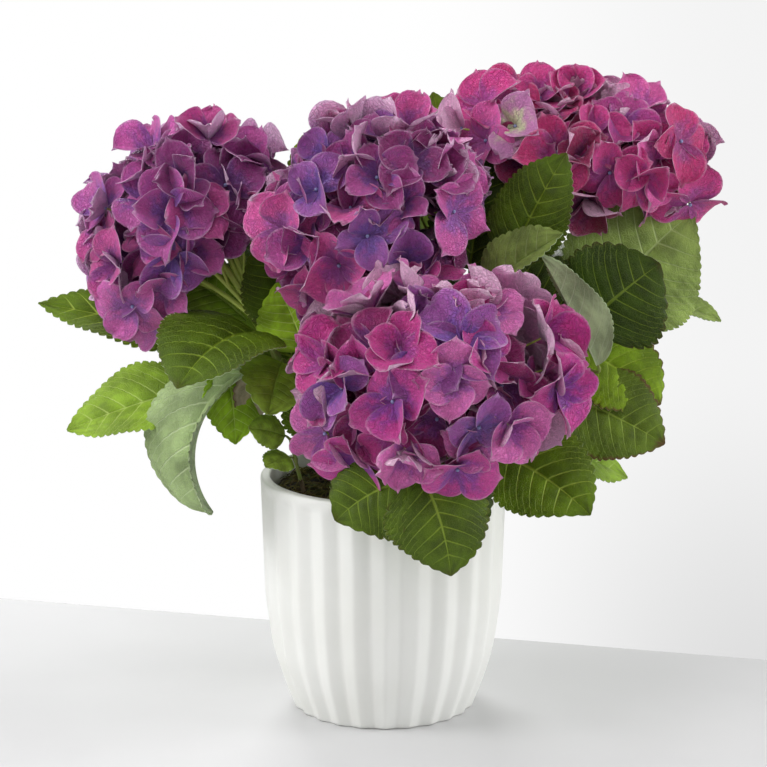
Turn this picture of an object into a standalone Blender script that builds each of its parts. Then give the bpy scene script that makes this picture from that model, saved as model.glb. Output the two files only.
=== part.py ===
"""Potted hydrangea shrub: a ribbed white pot, mossy soil, woody canes, leafy shoots and four mophead blooms.

Metres, +Z up. The origin is the middle of the pot's flat underside, and -Y is the shrub's front.
Tables of shoots, leaves and blooms are in millimetres and degrees, and MM turns them into metres.
A heading turns about Z from +X, so that -90 points to the front and 90 to the back.
"""

import math
import random
from collections import namedtuple

import bmesh
import bpy
from mathutils import Matrix, Vector
from mathutils.bvhtree import BVHTree

MM = 0.001
GAP = 0.3 * MM
SEED = 7

# Pot: (height, radius) up the outside, in millimetres. The ribs are convex reeds between narrow grooves.
POT_OUTSIDE = ((0, 61.0), (9, 64.5), (22, 69.5), (40, 75.0), (75, 79.8), (156, 82.4))
POT_HEIGHT = 160
POT_WALL = 6.6
POT_FLOOR = 7
POT_LIP_ROUND = 2.0
RIBS = 24
RIB_STEPS = 3
RIB_DEPTH = 1.9
RIB_TURN = math.radians(-6.5)

# Soil: a root ball that fills the pot, and a mat of moss over it.
SOIL_TOP = 143
SOIL_SIDES = 24
SOIL_ROOM = 0.45
MOSS_RINGS = (0.0, 0.3, 0.6, 0.88)
MOSS_EDGE = 2.5
MOSS_THICKNESS = 5.5
MOSS_CROWN = 2.5
MOSS_BUMP = 1.1
CANE_CLEARANCE = 0.6

# Limbs.
CANE_FOOT = SOIL_TOP + 0.3
CANE_SIDES = 7
STEM_SIDES = 5
CANE_STEP = 11
TIP_TAPER = 0.72
PEDUNCLE_RADIUS = 2.6
PEDUNCLE_END = 0.97
LIMB_ROOM = 1.2

# A leaf: an ovate blade folded a little along its midrib, on a short stalk.
LEAF_STATIONS = 5
STALK_STATIONS = 2
STALK_RADIUS = 1.5
STALK_BEND = 0.45
LEAF_THICKNESS = 1.7
LEAF_TIP_WIDTH = 1.6
LEAF_RING = 4
LEAF_WIDEST_FORE = 0.55
LEAF_WIDEST_AFT = 0.78

# A floret: four broad sepals in one cupped plate, on a three-sided stalk that stands out of the core.
FLORET_RADIUS = 30
FLORET_NOTCH = 0.56
FLORET_LOBE = 0.15
FLORET_WAVE = (0.8, 1.2)
FLORET_THICKNESS = 1.8
FLORET_CUP = -5.0
FLORET_TILT = 0.1
FLORET_PULLS = (0.0, 0.1, 0.18)
FLORET_STALK_RADII = (1.5, 1.3)
FLORET_STALK_FOOT = 0.45
FLORET_LEVELS = 7
FLORET_LEVEL_STEP = 0.028
CORE_SHARE = 0.56
FLORET_SHARE = 0.87
BLOOM_OPENING = math.radians(58)
GOLDEN_ANGLE = math.pi * (3 - math.sqrt(5))

# Slivers under these widths, tried in turn, are merged after fusing.
MERGES = (0.0, 1e-6, 2e-6, 5e-6, 1e-5, 2e-5, 5e-5, 1e-4)

Shoot = namedtuple("Shoot", "route radius cane leafy")
# at: share of the way up the shoot. reach and lift: from the stem to the blade's foot. turn: the blade's
# heading less the stalk's. rise: the slope at the blade's foot, and droop: what it loses by its tip.
Leaf = namedtuple("Leaf", "at heading reach lift length width turn rise droop roll fold", defaults=(12,))
# tilt: how far the bloom's longer way leans from level, seen from the front.
Bloom = namedtuple("Bloom", "centre radii florets size tilt")

SHOOTS = {
    "left": Shoot(((-30, 5, CANE_FOOT), (-60, 8, 205), (-84, 16, 275), (-116, 34, 326)), 3.6, 0.28, 0.62),
    "middle": Shoot(((-6, 14, CANE_FOOT), (-18, 20, 210), (-6, 8, 275), (-4, 0, 336)), 3.9, 0.26, 0.58),
    "front": Shoot(((12, -20, CANE_FOOT), (12, -28, 175), (22, -52, 205), (32, -80, 243)), 3.8, 0.26, 0.48),
    "right": Shoot(((32, 16, CANE_FOOT), (58, 22, 215), (92, 48, 290), (130, 80, 365)), 3.9, 0.24, 0.66),
    "side": Shoot(((44, -8, CANE_FOOT), (66, -12, 175), (98, -6, 215), (126, 4, 256)), 3.0, 0.3, 1.0),
    "back_left": Shoot(((-22, 38, CANE_FOOT), (-34, 66, 200), (-48, 96, 250), (-54, 112, 300)), 3.2, 0.3, 1),
    "back_right": Shoot(((18, 42, CANE_FOOT), (26, 74, 200), (36, 104, 250), (44, 122, 300)), 3.2, 0.3, 1.0),
    "young": Shoot(((-50, -26, CANE_FOOT), (-54, -28, 160), (-58, -32, 176), (-61, -34, 192)), 1.5, 0.4, 1),
}

LEAVES = {
    "left": (
        Leaf(0.32, -172, 62, 11, 94, 52, -10, -6, 12, -40),
        Leaf(0.36, -150, 34, 22, 108, 84, 0, -34, 78, 62, 24),
        Leaf(0.46, -126, 24, 26, 96, 82, 4, 14, 54, -14, 16),
        Leaf(0.46, 140, 58, 9, 126, 62, 34, 13, 4, -34),
        Leaf(0.56, 140, 18, 8, 64, 56, 0, 32, 20, -40),
        Leaf(0.42, -95, 20, 14, 50, 52, -5, -20, 22, -24),
    ),
    "middle": (
        Leaf(0.44, 138, 26, 12, 62, 56, 4, 34, 12, -60),
        Leaf(0.54, 150, 20, 12, 92, 60, 0, 52, 22, -30),
    ),
    "front": (
        Leaf(0.34, -90, 36, 6, 86, 98, 20, -14, 66, -6, -8),
        Leaf(0.42, -66, 26, -6, 44, 44, -8, -20, 26, 6),
        Leaf(0.30, -126, 24, 4, 54, 40, 0, 4, 46, 0),
    ),
    "right": (
        Leaf(0.62, 10, 24, 14, 122, 100, -22, -8, 20, 64, 8),
        Leaf(0.58, -98, 46, 26, 74, 50, 90, 66, 8, 66),
        Leaf(0.50, -124, 48, 26, 52, 24, 118, 40, 8, 40, 34),
        Leaf(0.58, 170, 20, 10, 92, 60, -40, 74, 14, -70),
        Leaf(0.34, 60, 26, 6, 104, 72, 0, 20, 40, 10),
        Leaf(0.64, 84, 20, 6, 96, 60, 10, 30, 36, 0),
    ),
    "side": (
        Leaf(0.24, -76, 22, 6, 84, 70, 36, -8, 26, 36),
        Leaf(0.40, 12, 22, -4, 76, 56, 0, -10, 22, 24),
        Leaf(0.62, -8, 30, 2, 66, 62, -4, -14, 18, 56),
        Leaf(0.82, 0, 22, 0, 62, 58, -4, -8, 26, 54),
        Leaf(0.98, -60, 14, -4, 82, 84, 8, 44, 8, 84),
        Leaf(0.90, -50, 22, -8, 76, 42, -134, 60, 8, -30, 40),
    ),
    "back_left": (
        Leaf(0.98, 118, 12, 6, 104, 70, 0, 40, 56, 0),
        Leaf(0.96, 30, 12, 6, 78, 56, 20, 66, 14, 0),
    ),
    "back_right": (
        Leaf(0.98, 84, 12, 6, 104, 70, 0, 44, 60, 0),
        Leaf(0.94, -160, 14, 8, 96, 58, -40, 80, 6, 0),
    ),
    "young": (
        Leaf(0.96, -160, 4, 4, 26, 26, 0, 26, 20, -50),
        Leaf(0.92, -10, 8, 6, 22, 22, 0, 30, 20, 50),
        Leaf(0.70, -130, 5, 2, 24, 22, 0, 10, 30, -30),
    ),
}

# Pairs of leaves that fill the shrub's far side: each pair stands crosswise to the one below.
PAIRS = {
    "left": (0.32, 0.44, 0.56),
    "middle": (0.34, 0.45, 0.56),
    "right": (0.28, 0.36, 0.46, 0.56, 0.64),
    "side": (0.34, 0.5, 0.7),
    "back_left": (0.33, 0.44, 0.55, 0.66, 0.78, 0.88, 0.97),
    "back_right": (0.33, 0.44, 0.55, 0.66, 0.78, 0.88, 0.97),
}
PAIR_TRIES = 160
PAIR_LENGTHS = (100, 128)
PAIR_SHRINK = 40
PAIR_WIDTHS = (0.64, 0.74)
PAIR_SPREAD = (20, 50)
# The room for these pairs, in millimetres: behind the canes and between the leaves that the front shows.
PAIR_ROOM = ((-124, 160), (6, 212), (172, 360))

BLOOMS = {
    "front": Bloom((33, -82, 244), (103, 78, 77), 26, 1.04, 0),
    "middle": Bloom((-10, -8, 338), (89, 73, 75), 25, 1.0, 40),
    "left": Bloom((-133, 42, 325), (92, 70, 70), 25, 1.0, 46),
    "right": Bloom((132, 86, 367), (98, 76, 57), 26, 1.0, -8),
}

COLOURS = {
    "pot": ((0.78, 0.77, 0.74), 0.5),
    "root_ball": ((0.035, 0.022, 0.014), 0.95),
    "moss": ((0.06, 0.055, 0.012), 0.95),
    "cane": ((0.13, 0.10, 0.05), 0.8),
    "leaf": ((0.08, 0.16, 0.03), 0.5),
    "young_leaf": ((0.2, 0.36, 0.07), 0.5),
    "bloom_front": ((0.42, 0.07, 0.26), 0.6),
    "bloom_middle": ((0.17, 0.04, 0.16), 0.6),
    "bloom_left": ((0.22, 0.06, 0.22), 0.6),
    "bloom_right": ((0.38, 0.04, 0.14), 0.6),
}


# ---------------------------------------------------------------- scene and materials


def clear_scene():
    for thing in list(bpy.data.objects):
        bpy.data.objects.remove(thing, do_unlink=True)


def material(name):
    colour, roughness = COLOURS[name]
    made = bpy.data.materials.get(name) or bpy.data.materials.new(name)
    made.use_nodes = True
    shader = made.node_tree.nodes["Principled BSDF"]
    shader.inputs["Base Color"].default_value = (*colour, 1.0)
    shader.inputs["Roughness"].default_value = roughness
    shader.inputs["Metallic"].default_value = 0.0
    return made


def solid(name, shape, look):
    """An object of this name made from a shape, which is (points, faces)."""
    mesh = bpy.data.meshes.new(name)
    points, faces = shape
    mesh.from_pydata(points, [], faces)
    mesh.materials.append(material(look))
    thing = bpy.data.objects.new(name, mesh)
    bpy.context.scene.collection.objects.link(thing)
    return thing


def smooth(thing, degrees=40):
    thing.data.shade_smooth()
    thing.data.set_sharp_from_angle(angle=math.radians(degrees))


# ---------------------------------------------------------------- shapes as (points, faces)


def lofted(rings):
    """A closed skin over rings of points that all have the same count, with a flat cap at each end."""
    sides = len(rings[0])
    points = [point for ring in rings for point in ring]
    faces = [tuple(range(sides))[::-1]]
    for level in range(len(rings) - 1):
        low = level * sides
        for side in range(sides):
            beside = (side + 1) % sides
            faces.append((low + side, low + beside, low + sides + beside, low + sides + side))
    top = (len(rings) - 1) * sides
    faces.append(tuple(range(top, top + sides)))
    return points, faces


def capped_fan(rings, foot, head):
    """A closed skin over rings, with a middle point at each end."""
    points, faces = lofted(rings)
    sides = len(rings[0])
    first, last = faces[0], faces[-1]
    faces = faces[1:-1]
    points = points + [foot, head]
    for cap, middle in ((first, len(points) - 2), (last, len(points) - 1)):
        faces += [(cap[side], cap[(side + 1) % sides], middle) for side in range(sides)]
    return points, faces


def frame_along(tangent, side):
    """The side and upper directions square to a tangent, the side as near to the given one as it can be."""
    across = (side - tangent * side.dot(tangent)).normalized()
    return across, tangent.cross(across)


def tube(route, radii, sides, flat_foot=False):
    """A round tapering limb along a route. A flat foot is cut level."""
    rings = []
    for index, centre in enumerate(route):
        ahead = route[min(index + 1, len(route) - 1)] - route[max(index - 1, 0)]
        tangent = Vector((0, 0, 1)) if flat_foot and index == 0 else ahead.normalized()
        across, up = frame_along(tangent, Vector((1, 0, 0)))
        turns = [2 * math.pi * side / sides for side in range(sides)]
        rings.append([centre + radii[index] * (math.cos(a) * across + math.sin(a) * up) for a in turns])
    return lofted(rings)


def bezier(controls, share):
    """The point at this share of a cubic curve."""
    away = 1 - share
    weights = (away**3, 3 * away**2 * share, 3 * away * share**2, share**3)
    return sum((Vector(point) * MM * weight for point, weight in zip(controls, weights)), Vector())


def stretch(controls, start, end, step=CANE_STEP):
    """Points along a curve from one share of it to another, about a step apart in millimetres."""
    length = (bezier(controls, end) - bezier(controls, start)).length / MM
    count = max(2, round(length / step))
    return [bezier(controls, start + (end - start) * i / count) for i in range(count + 1)]


def share_after_gap(controls, share):
    """The share of the curve that lies one gap further on."""
    speed = (bezier(controls, share + 0.001) - bezier(controls, share - 0.001)).length / 0.002
    return share + GAP / speed


def polar(heading, rise):
    """A direction from a heading and a slope in degrees."""
    flat = math.cos(math.radians(rise))
    turn = math.radians(heading)
    return Vector((flat * math.cos(turn), flat * math.sin(turn), math.sin(math.radians(rise))))


# ---------------------------------------------------------------- leaves


def leaf_half_width(share):
    """The half width of an ovate blade at a share of its length, as a share of the widest."""
    widest = LEAF_WIDEST_FORE / (LEAF_WIDEST_FORE + LEAF_WIDEST_AFT)
    most = widest**LEAF_WIDEST_FORE * (1 - widest) ** LEAF_WIDEST_AFT
    return share**LEAF_WIDEST_FORE * (1 - share) ** LEAF_WIDEST_AFT / most


def leaf_midline(leaf, root):
    """The stalk's points, then the blade's, and the blade's side direction at its foot."""
    foot = root + polar(leaf.heading, 0) * leaf.reach * MM + Vector((0, 0, leaf.lift * MM))
    heading = leaf.heading + leaf.turn
    start = polar(heading, leaf.rise)
    bend = foot - start * (foot - root).length * STALK_BEND
    stalk = []
    for index in range(STALK_STATIONS):
        share = index / STALK_STATIONS
        stalk.append(root * (1 - share) ** 2 + bend * 2 * share * (1 - share) + foot * share**2)
    blade = [foot]
    piece = leaf.length * MM / LEAF_STATIONS
    for index in range(LEAF_STATIONS):
        slope = leaf.rise - leaf.droop * (index + 0.5) / LEAF_STATIONS
        blade.append(blade[-1] + polar(heading, slope) * piece)
    return stalk, blade, polar(heading + 90, 0)


def leaf_shape(leaf, root):
    """A closed leaf with its stalk: each station has a right edge, an underside, a left edge and a top."""
    stalk, blade, level_side = leaf_midline(leaf, root)
    line = stalk + blade
    roll = math.radians(leaf.roll)
    fold = math.radians(leaf.fold)
    rings = []
    for index, centre in enumerate(line):
        ahead = line[min(index + 1, len(line) - 1)] - line[max(index - 1, 0)]
        tangent = ahead.normalized()
        side, up = frame_along(tangent, level_side)
        side, up = side * math.cos(roll) + up * math.sin(roll), up * math.cos(roll) - side * math.sin(roll)
        share = (index - len(stalk)) / LEAF_STATIONS
        half = max(leaf_half_width(min(max(share, 0), 1)) * leaf.width / 2, STALK_RADIUS) * MM
        if share >= 1:
            half = LEAF_TIP_WIDTH / 2 * MM
        thick = max(LEAF_THICKNESS * (1 - 0.4 * share), STALK_RADIUS * 2 * (share < 0.02)) * MM / 2
        lean = fold if 0 < share < 1 else 0.0
        out = side * math.cos(lean) * half
        lifted = centre + up * math.sin(lean) * half
        rings.append([lifted - out, centre - up * thick, lifted + out, centre + up * thick])
    return lofted(rings)


# ---------------------------------------------------------------- blooms


def floret_shape(centre, outward, spin, cup, size):
    """Four rounded sepals as one closed plate, cupped toward or away from the bloom's middle."""
    across, up = frame_along(outward, Vector((0.3, 0.5, 0.8)).normalized())
    reach = FLORET_RADIUS * size * MM
    outline = []
    for lobe in range(4):
        for part, radius in ((-0.5, FLORET_NOTCH), (-FLORET_LOBE, 1.0), (FLORET_LOBE, 1.0)):
            angle = spin + math.pi / 2 * (lobe + part)
            rise = cup * MM * radius**2 * FLORET_WAVE[lobe % 2]
            flat = math.cos(angle) * across + math.sin(angle) * up
            outline.append(centre + flat * reach * radius + outward * rise)
    count = len(outline)
    half = outward * FLORET_THICKNESS * MM / 2
    points = outline + [centre + half, centre - half]
    faces = []
    for index in range(count):
        beside = (index + 1) % count
        faces.append((index, beside, count))
        faces.append((beside, index, count + 1))
    return points, faces


def bloom_axis(name):
    controls = SHOOTS[name].route
    return (bezier(controls, 1.0) - bezier(controls, 0.9)).normalized()


def floret_places(name, luck):
    """Each floret's outward direction and its place, spread evenly over the bloom but for its underside."""
    bloom = BLOOMS[name]
    axis = bloom_axis(name)
    across, up = frame_along(axis, Vector((1, 0.2, 0)).normalized())
    lowest = -math.cos(BLOOM_OPENING)
    for index in range(bloom.florets):
        height = 1 - (1 - lowest) * (index + 0.5) / bloom.florets
        ring = math.sqrt(1 - height * height)
        turn = index * GOLDEN_ANGLE + luck.uniform(-0.12, 0.12)
        outward = axis * height + ring * (math.cos(turn) * across + math.sin(turn) * up)
        stretched = bloom_matrix(bloom) @ outward
        level = (index * 3 % FLORET_LEVELS) / (FLORET_LEVELS - 1) - 0.5
        yield outward, Vector(bloom.centre) * MM, stretched, level * FLORET_LEVEL_STEP * FLORET_LEVELS


def bloom_matrix(bloom):
    """Turns a direction into a place on the bloom's surface, measured from its centre."""
    tilt = Matrix.Rotation(-math.radians(bloom.tilt), 3, "Y")
    return tilt @ Matrix.Diagonal(Vector(bloom.radii) * MM) @ tilt.transposed()


def core_shape(bloom):
    mesh = bmesh.new()
    bmesh.ops.create_icosphere(mesh, subdivisions=2, radius=1.0)
    centre = Vector(bloom.centre) * MM
    stretch_out = bloom_matrix(bloom) * CORE_SHARE
    points = [centre + stretch_out @ vert.co for vert in mesh.verts]
    faces = [tuple(vert.index for vert in face.verts) for face in mesh.faces]
    mesh.free()
    return points, faces


# ---------------------------------------------------------------- fitting and fusing


def tree_of(shape):
    return BVHTree.FromPolygons([tuple(point) for point in shape[0]], shape[1])


def touches(shape, others):
    """The names of the others, given as (name, tree), that a shape runs into."""
    tree = tree_of(shape)
    return [name for name, other in others if tree.overlap(other)]


def swollen(controls, start, end, radius):
    """A limb with room round it, which nothing else may enter."""
    route = stretch(controls, start, end)
    return tube(route, [(radius + LIMB_ROOM) * MM] * len(route), STEM_SIDES)


def shells_of(work):
    """The groups of joined faces of a mesh, smallest first."""
    left = set(work.faces)
    shells = []
    while left:
        stack = [left.pop()]
        shell = list(stack)
        while stack:
            for edge in stack.pop().edges:
                for face in edge.link_faces:
                    if face in left:
                        left.discard(face)
                        stack.append(face)
                        shell.append(face)
        shells.append(shell)
    return sorted(shells, key=len)


def is_sound(work):
    """Whether each edge has just two faces, also once the points are rounded to a micrometre."""
    places = {vert: tuple(round(value / MM, 3) for value in vert.co) for vert in work.verts}
    counts = {}
    for face in work.faces:
        corners = [places[vert] for vert in face.verts]
        if len(set(corners)) < len(corners):
            continue
        for start, end in zip(corners, corners[1:] + corners[:1]):
            edge = (min(start, end), max(start, end))
            counts[edge] = counts.get(edge, 0) + 1
    return all(count == 2 for count in counts.values())


def cleaned(mesh, merge):
    """Whether the mesh is one closed shell once slivers under the merge distance are gone.

    Loose scraps are dropped, and so are the walls of hollows that fusing sealed, which fills them.
    """
    work = bmesh.new()
    work.from_mesh(mesh)
    bmesh.ops.triangulate(work, faces=work.faces)
    if merge:
        bmesh.ops.remove_doubles(work, verts=work.verts, dist=merge)
        bmesh.ops.dissolve_degenerate(work, edges=work.edges, dist=merge)
        bmesh.ops.triangulate(work, faces=work.faces)
    scraps = [face for shell in shells_of(work)[:-1] for face in shell]
    bmesh.ops.delete(work, geom=scraps, context="FACES")
    loose = [vert for vert in work.verts if not vert.link_faces]
    bmesh.ops.delete(work, geom=loose, context="VERTS")
    sound = is_sound(work)
    if sound:
        work.to_mesh(mesh)
    work.free()
    return sound


def clean(thing):
    """Closes an object's fused mesh with the smallest merge distance that does it."""
    if not any(cleaned(thing.data, merge) for merge in MERGES):
        print(f"{thing.name}: fusing left it open")


def in_triangles(shape):
    """The shape with each face cut into a fan of triangles, so that fusing meets only flat faces."""
    points, faces = shape
    fans = []
    for face in faces:
        fans += [(face[0], face[turn], face[turn + 1]) for turn in range(1, len(face) - 1)]
    return points, fans


def fused(name, first, others, look):
    """One solid from a first shape and the others that stand out of it."""
    body = solid(name, in_triangles(first), look)
    group = bpy.data.collections.new(name + "_parts")
    bpy.context.scene.collection.children.link(group)
    for index, shape in enumerate(others):
        piece = solid(f"{name}_part_{index}", in_triangles(shape), look)
        bpy.context.scene.collection.objects.unlink(piece)
        group.objects.link(piece)
    if others:
        union = body.modifiers.new("fuse", "BOOLEAN")
        union.operation = "UNION"
        union.operand_type = "COLLECTION"
        union.collection = group
        union.solver = "MANIFOLD"
        bpy.context.view_layer.update()
        graph = bpy.context.evaluated_depsgraph_get()
        joined = bpy.data.meshes.new_from_object(body.evaluated_get(graph))
        body.modifiers.remove(union)
        body.data = joined
    for piece in list(group.objects):
        bpy.data.objects.remove(piece, do_unlink=True)
    bpy.data.collections.remove(group)
    clean(body)
    print(f"{name}: {len(others)} pieces fused, {len(body.data.polygons)} triangles")
    return body


# ---------------------------------------------------------------- sub-parts


def pot_radius(height):
    """The radius of the outside over the ribs at a height in millimetres."""
    for (low, near), (high, far) in zip(POT_OUTSIDE, POT_OUTSIDE[1:]):
        if height <= high:
            return near + (far - near) * (height - low) / (high - low)
    return POT_OUTSIDE[-1][1]


def pot_ring(height, radius, depth):
    """A ring of the pot. Its grooves are cut to a depth, which is 0 on the plain rim and inside."""
    ring = []
    for index in range(RIBS * RIB_STEPS):
        angle = RIB_TURN - math.pi / 2 + 2 * math.pi * index / (RIBS * RIB_STEPS)
        from_crest = abs(index % RIB_STEPS / RIB_STEPS - 0.5) * 2
        reach = (radius - depth * from_crest**2.6) * MM
        ring.append(Vector((reach * math.cos(angle), reach * math.sin(angle), height * MM)))
    return ring


def inner_rings():
    """(height, radius) down the inside of the pot."""
    heights = (POT_HEIGHT - POT_LIP_ROUND, 75, 36, POT_FLOOR)
    return [(height, pot_radius(height) - POT_WALL) for height in heights]


def pot():
    rim = pot_radius(POT_HEIGHT)
    rings = []
    for height, radius in POT_OUTSIDE:
        rings.append(pot_ring(height, radius, RIB_DEPTH if height > 1 else RIB_DEPTH * 0.6))
    rings.append(pot_ring(POT_HEIGHT - 0.8, rim - 0.3, 0.0))
    rings.append(pot_ring(POT_HEIGHT, rim - POT_LIP_ROUND, 0.0))
    rings.append(pot_ring(POT_HEIGHT, rim - POT_WALL + 0.8, 0.0))
    rings += [pot_ring(height, radius, 0.0) for height, radius in inner_rings()]
    thing = solid("pot", lofted(rings), "pot")
    smooth(thing, 35)
    return thing


def soil_ring(height, radius):
    angles = [2 * math.pi * side / SOIL_SIDES for side in range(SOIL_SIDES)]
    return [Vector((radius * MM * math.cos(a), radius * MM * math.sin(a), height * MM)) for a in angles]


def root_ball():
    """The root ball stands just clear of the pot's floor and wall."""
    room = SOIL_ROOM
    top_radius = pot_radius(SOIL_TOP) - POT_WALL
    levels = [(SOIL_TOP, top_radius)] + inner_rings()[1:]
    rings = [soil_ring(height, radius - room) for height, radius in levels]
    rings[-1] = soil_ring(POT_FLOOR + GAP / MM, levels[-1][1] - room)
    thing = solid("root_ball", lofted(rings[::-1]), "root_ball")
    smooth(thing)
    return thing


def moss_top(x, y):
    """The height of the moss over a place, in millimetres: low hummocks that rise to the middle."""
    far = math.hypot(x, y) / pot_radius(SOIL_TOP)
    bumps = math.sin(x * 0.21 + 1.0) * math.cos(y * 0.19) + 0.6 * math.sin(x * 0.43 - y * 0.37)
    return SOIL_TOP + MOSS_THICKNESS + MOSS_CROWN * (1 - far * far) + MOSS_BUMP * bumps


def moss():
    radius = pot_radius(SOIL_TOP) - POT_WALL - SOIL_ROOM
    foot = SOIL_TOP + GAP / MM
    rings = [soil_ring(foot, radius * share) for share in (0.5, 1.0)]
    rings.append(soil_ring(foot + MOSS_EDGE, radius))
    for share in MOSS_RINGS[:0:-1]:
        ring = soil_ring(0, radius * share)
        rings.append([Vector((p.x, p.y, moss_top(p.x / MM, p.y / MM) * MM)) for p in ring])
    middle = Vector((0, 0, moss_top(0, 0) * MM))
    mat = solid("moss", capped_fan(rings, Vector((0, 0, foot * MM)), middle), "moss")
    for name, shoot in SHOOTS.items():
        route = stretch(shoot.route, -0.12, 0.2, 2 * CANE_STEP)
        hole = tube(route, [(shoot.radius + CANE_CLEARANCE) * MM] * len(route), CANE_SIDES)
        cutter = solid("moss_hole_" + name, hole, "moss")
        cut = mat.modifiers.new("hole_" + name, "BOOLEAN")
        cut.operation = "DIFFERENCE"
        cut.object = cutter
        cutter.hide_render = True
        cutter.display_type = "WIRE"
    bpy.context.view_layer.update()
    graph = bpy.context.evaluated_depsgraph_get()
    cut_mesh = bpy.data.meshes.new_from_object(mat.evaluated_get(graph))
    mat.modifiers.clear()
    mat.data = cut_mesh
    for name in SHOOTS:
        bpy.data.objects.remove(bpy.data.objects["moss_hole_" + name], do_unlink=True)
    clean(mat)
    smooth(mat, 60)
    return mat


def limb_radius(shoot, share):
    """The radius of a shoot at a share of its length, in metres: it tapers all the way to its tip."""
    return shoot.radius * (1 - (1 - TIP_TAPER) * share) * MM


def cane(name):
    shoot = SHOOTS[name]
    route = stretch(shoot.route, 0.0, shoot.cane)
    shares = [shoot.cane * index / (len(route) - 1) for index in range(len(route))]
    radii = [limb_radius(shoot, share) for share in shares]
    thing = solid("cane_" + name, tube(route, radii, CANE_SIDES, flat_foot=True), "cane")
    smooth(thing, 60)
    return thing


def in_pair_room(shape):
    """Whether every point of a leaf but those of its stalk lies in the room behind the canes."""
    for point in shape[0][LEAF_RING * (STALK_STATIONS + 1):]:
        for value, (least, most) in zip(point, PAIR_ROOM):
            if not least * MM <= value <= most * MM:
                return False
    return True


def pair_leaf(shoot, at, heading, blocked, luck):
    """A leaf at this height and near this heading that fits between what stands already, or None."""
    for attempt in range(PAIR_TRIES):
        share = attempt / PAIR_TRIES
        length = luck.uniform(*PAIR_LENGTHS) - PAIR_SHRINK * share
        spread = PAIR_SPREAD[0] + (PAIR_SPREAD[1] - PAIR_SPREAD[0]) * share
        leaf = Leaf(
            at=at,
            heading=heading + luck.uniform(-spread, spread),
            reach=luck.uniform(14, 36),
            lift=luck.uniform(0, 16),
            length=length,
            width=length * luck.uniform(*PAIR_WIDTHS),
            turn=luck.uniform(-14, 14),
            rise=luck.uniform(0, 60),
            droop=luck.uniform(30, 70),
            roll=luck.uniform(-24, 24),
        )
        shape = leaf_shape(leaf, bezier(shoot.route, at))
        if in_pair_room(shape) and not touches(shape, blocked):
            return shape
    return None


def stem_start(shoot):
    """The share of a shoot at which its green stem starts, just clear of its cane's tip."""
    return share_after_gap(shoot.route, shoot.cane)


def chosen_leaves(name, taken):
    """The leaves of a shoot's own list. One that would touch a limb or another mass is left out."""
    shoot = SHOOTS[name]
    kept = []
    for index, leaf in enumerate(LEAVES[name]):
        shape = leaf_shape(leaf, bezier(shoot.route, max(leaf.at, stem_start(shoot) + 0.02)))
        met = touches(shape, taken)
        if met:
            print(f"leaves_{name}: leaf {index} left out, it touches {met}")
        else:
            kept.append((f"leaf {index} of {name}", shape))
    return kept


def paired_leaves(name, taken, luck):
    """Leaves by rule: pairs that stand opposite, each pair a quarter turn on from the one below."""
    kept = []
    heading = luck.uniform(0, 180)
    for at in PAIRS.get(name, ()):
        heading += 90
        for side in (0, 180):
            own = [(known, tree_of(shape)) for known, shape in kept]
            shape = pair_leaf(SHOOTS[name], at, heading + side, taken + own, luck)
            if shape:
                kept.append((f"paired leaf of {name}", shape))
    return kept


def leaf_mass(name, leaves):
    """A green stem and its leaves as one solid."""
    shoot = SHOOTS[name]
    start = stem_start(shoot)
    route = stretch(shoot.route, start, shoot.leafy)
    shares = [start + (shoot.leafy - start) * index / (len(route) - 1) for index in range(len(route))]
    stem = tube(route, [limb_radius(shoot, share) for share in shares], STEM_SIDES)
    look = "young_leaf" if name == "young" else "leaf"
    body = fused("leaves_" + name, stem, [shape for _, shape in leaves], look)
    smooth(body, 50)
    return body


def bloom_head(name, taken, luck):
    """A mophead bloom: its stalk, a core and the florets that stand out of it, where they touch nothing."""
    bloom = BLOOMS[name]
    shoot = SHOOTS[name]
    core = core_shape(bloom)
    start = share_after_gap(shoot.route, shoot.leafy)
    route = stretch(shoot.route, start, PEDUNCLE_END)
    pieces = [tube(route, [PEDUNCLE_RADIUS * MM] * len(route), STEM_SIDES)]
    trees = []
    for outward, centre, stretched, depth in floret_places(name, luck):
        spin = luck.uniform(0, math.pi / 2)
        cup = luck.uniform(0.6, 1.3) * FLORET_CUP
        tilt = Vector([luck.uniform(-FLORET_TILT, FLORET_TILT) for _ in range(3)])
        facing = (outward + tilt).normalized()
        size = bloom.size * luck.uniform(0.94, 1.04)
        for pull in FLORET_PULLS:
            place = centre + stretched * (FLORET_SHARE - pull + depth)
            shape = floret_shape(place, facing, spin, cup, size)
            ends = [centre + stretched * FLORET_STALK_FOOT, place]
            stalk = tube(ends, [radius * MM for radius in FLORET_STALK_RADII], 3)
            if not touches(shape, taken) and not touches(stalk, taken):
                pieces += [shape, stalk]
                trees.append(("bloom " + name, tree_of(shape)))
                break
        else:
            print(f"bloom_{name}: one floret left out")
    body = fused("bloom_" + name, core, pieces, "bloom_" + name)
    smooth(body, 50)
    return trees + [("bloom " + name, tree_of(core))]


def mesh_shape(thing):
    """An object's own mesh as (points, faces)."""
    points = [vert.co.copy() for vert in thing.data.vertices]
    return points, [tuple(face.vertices) for face in thing.data.polygons]


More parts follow.
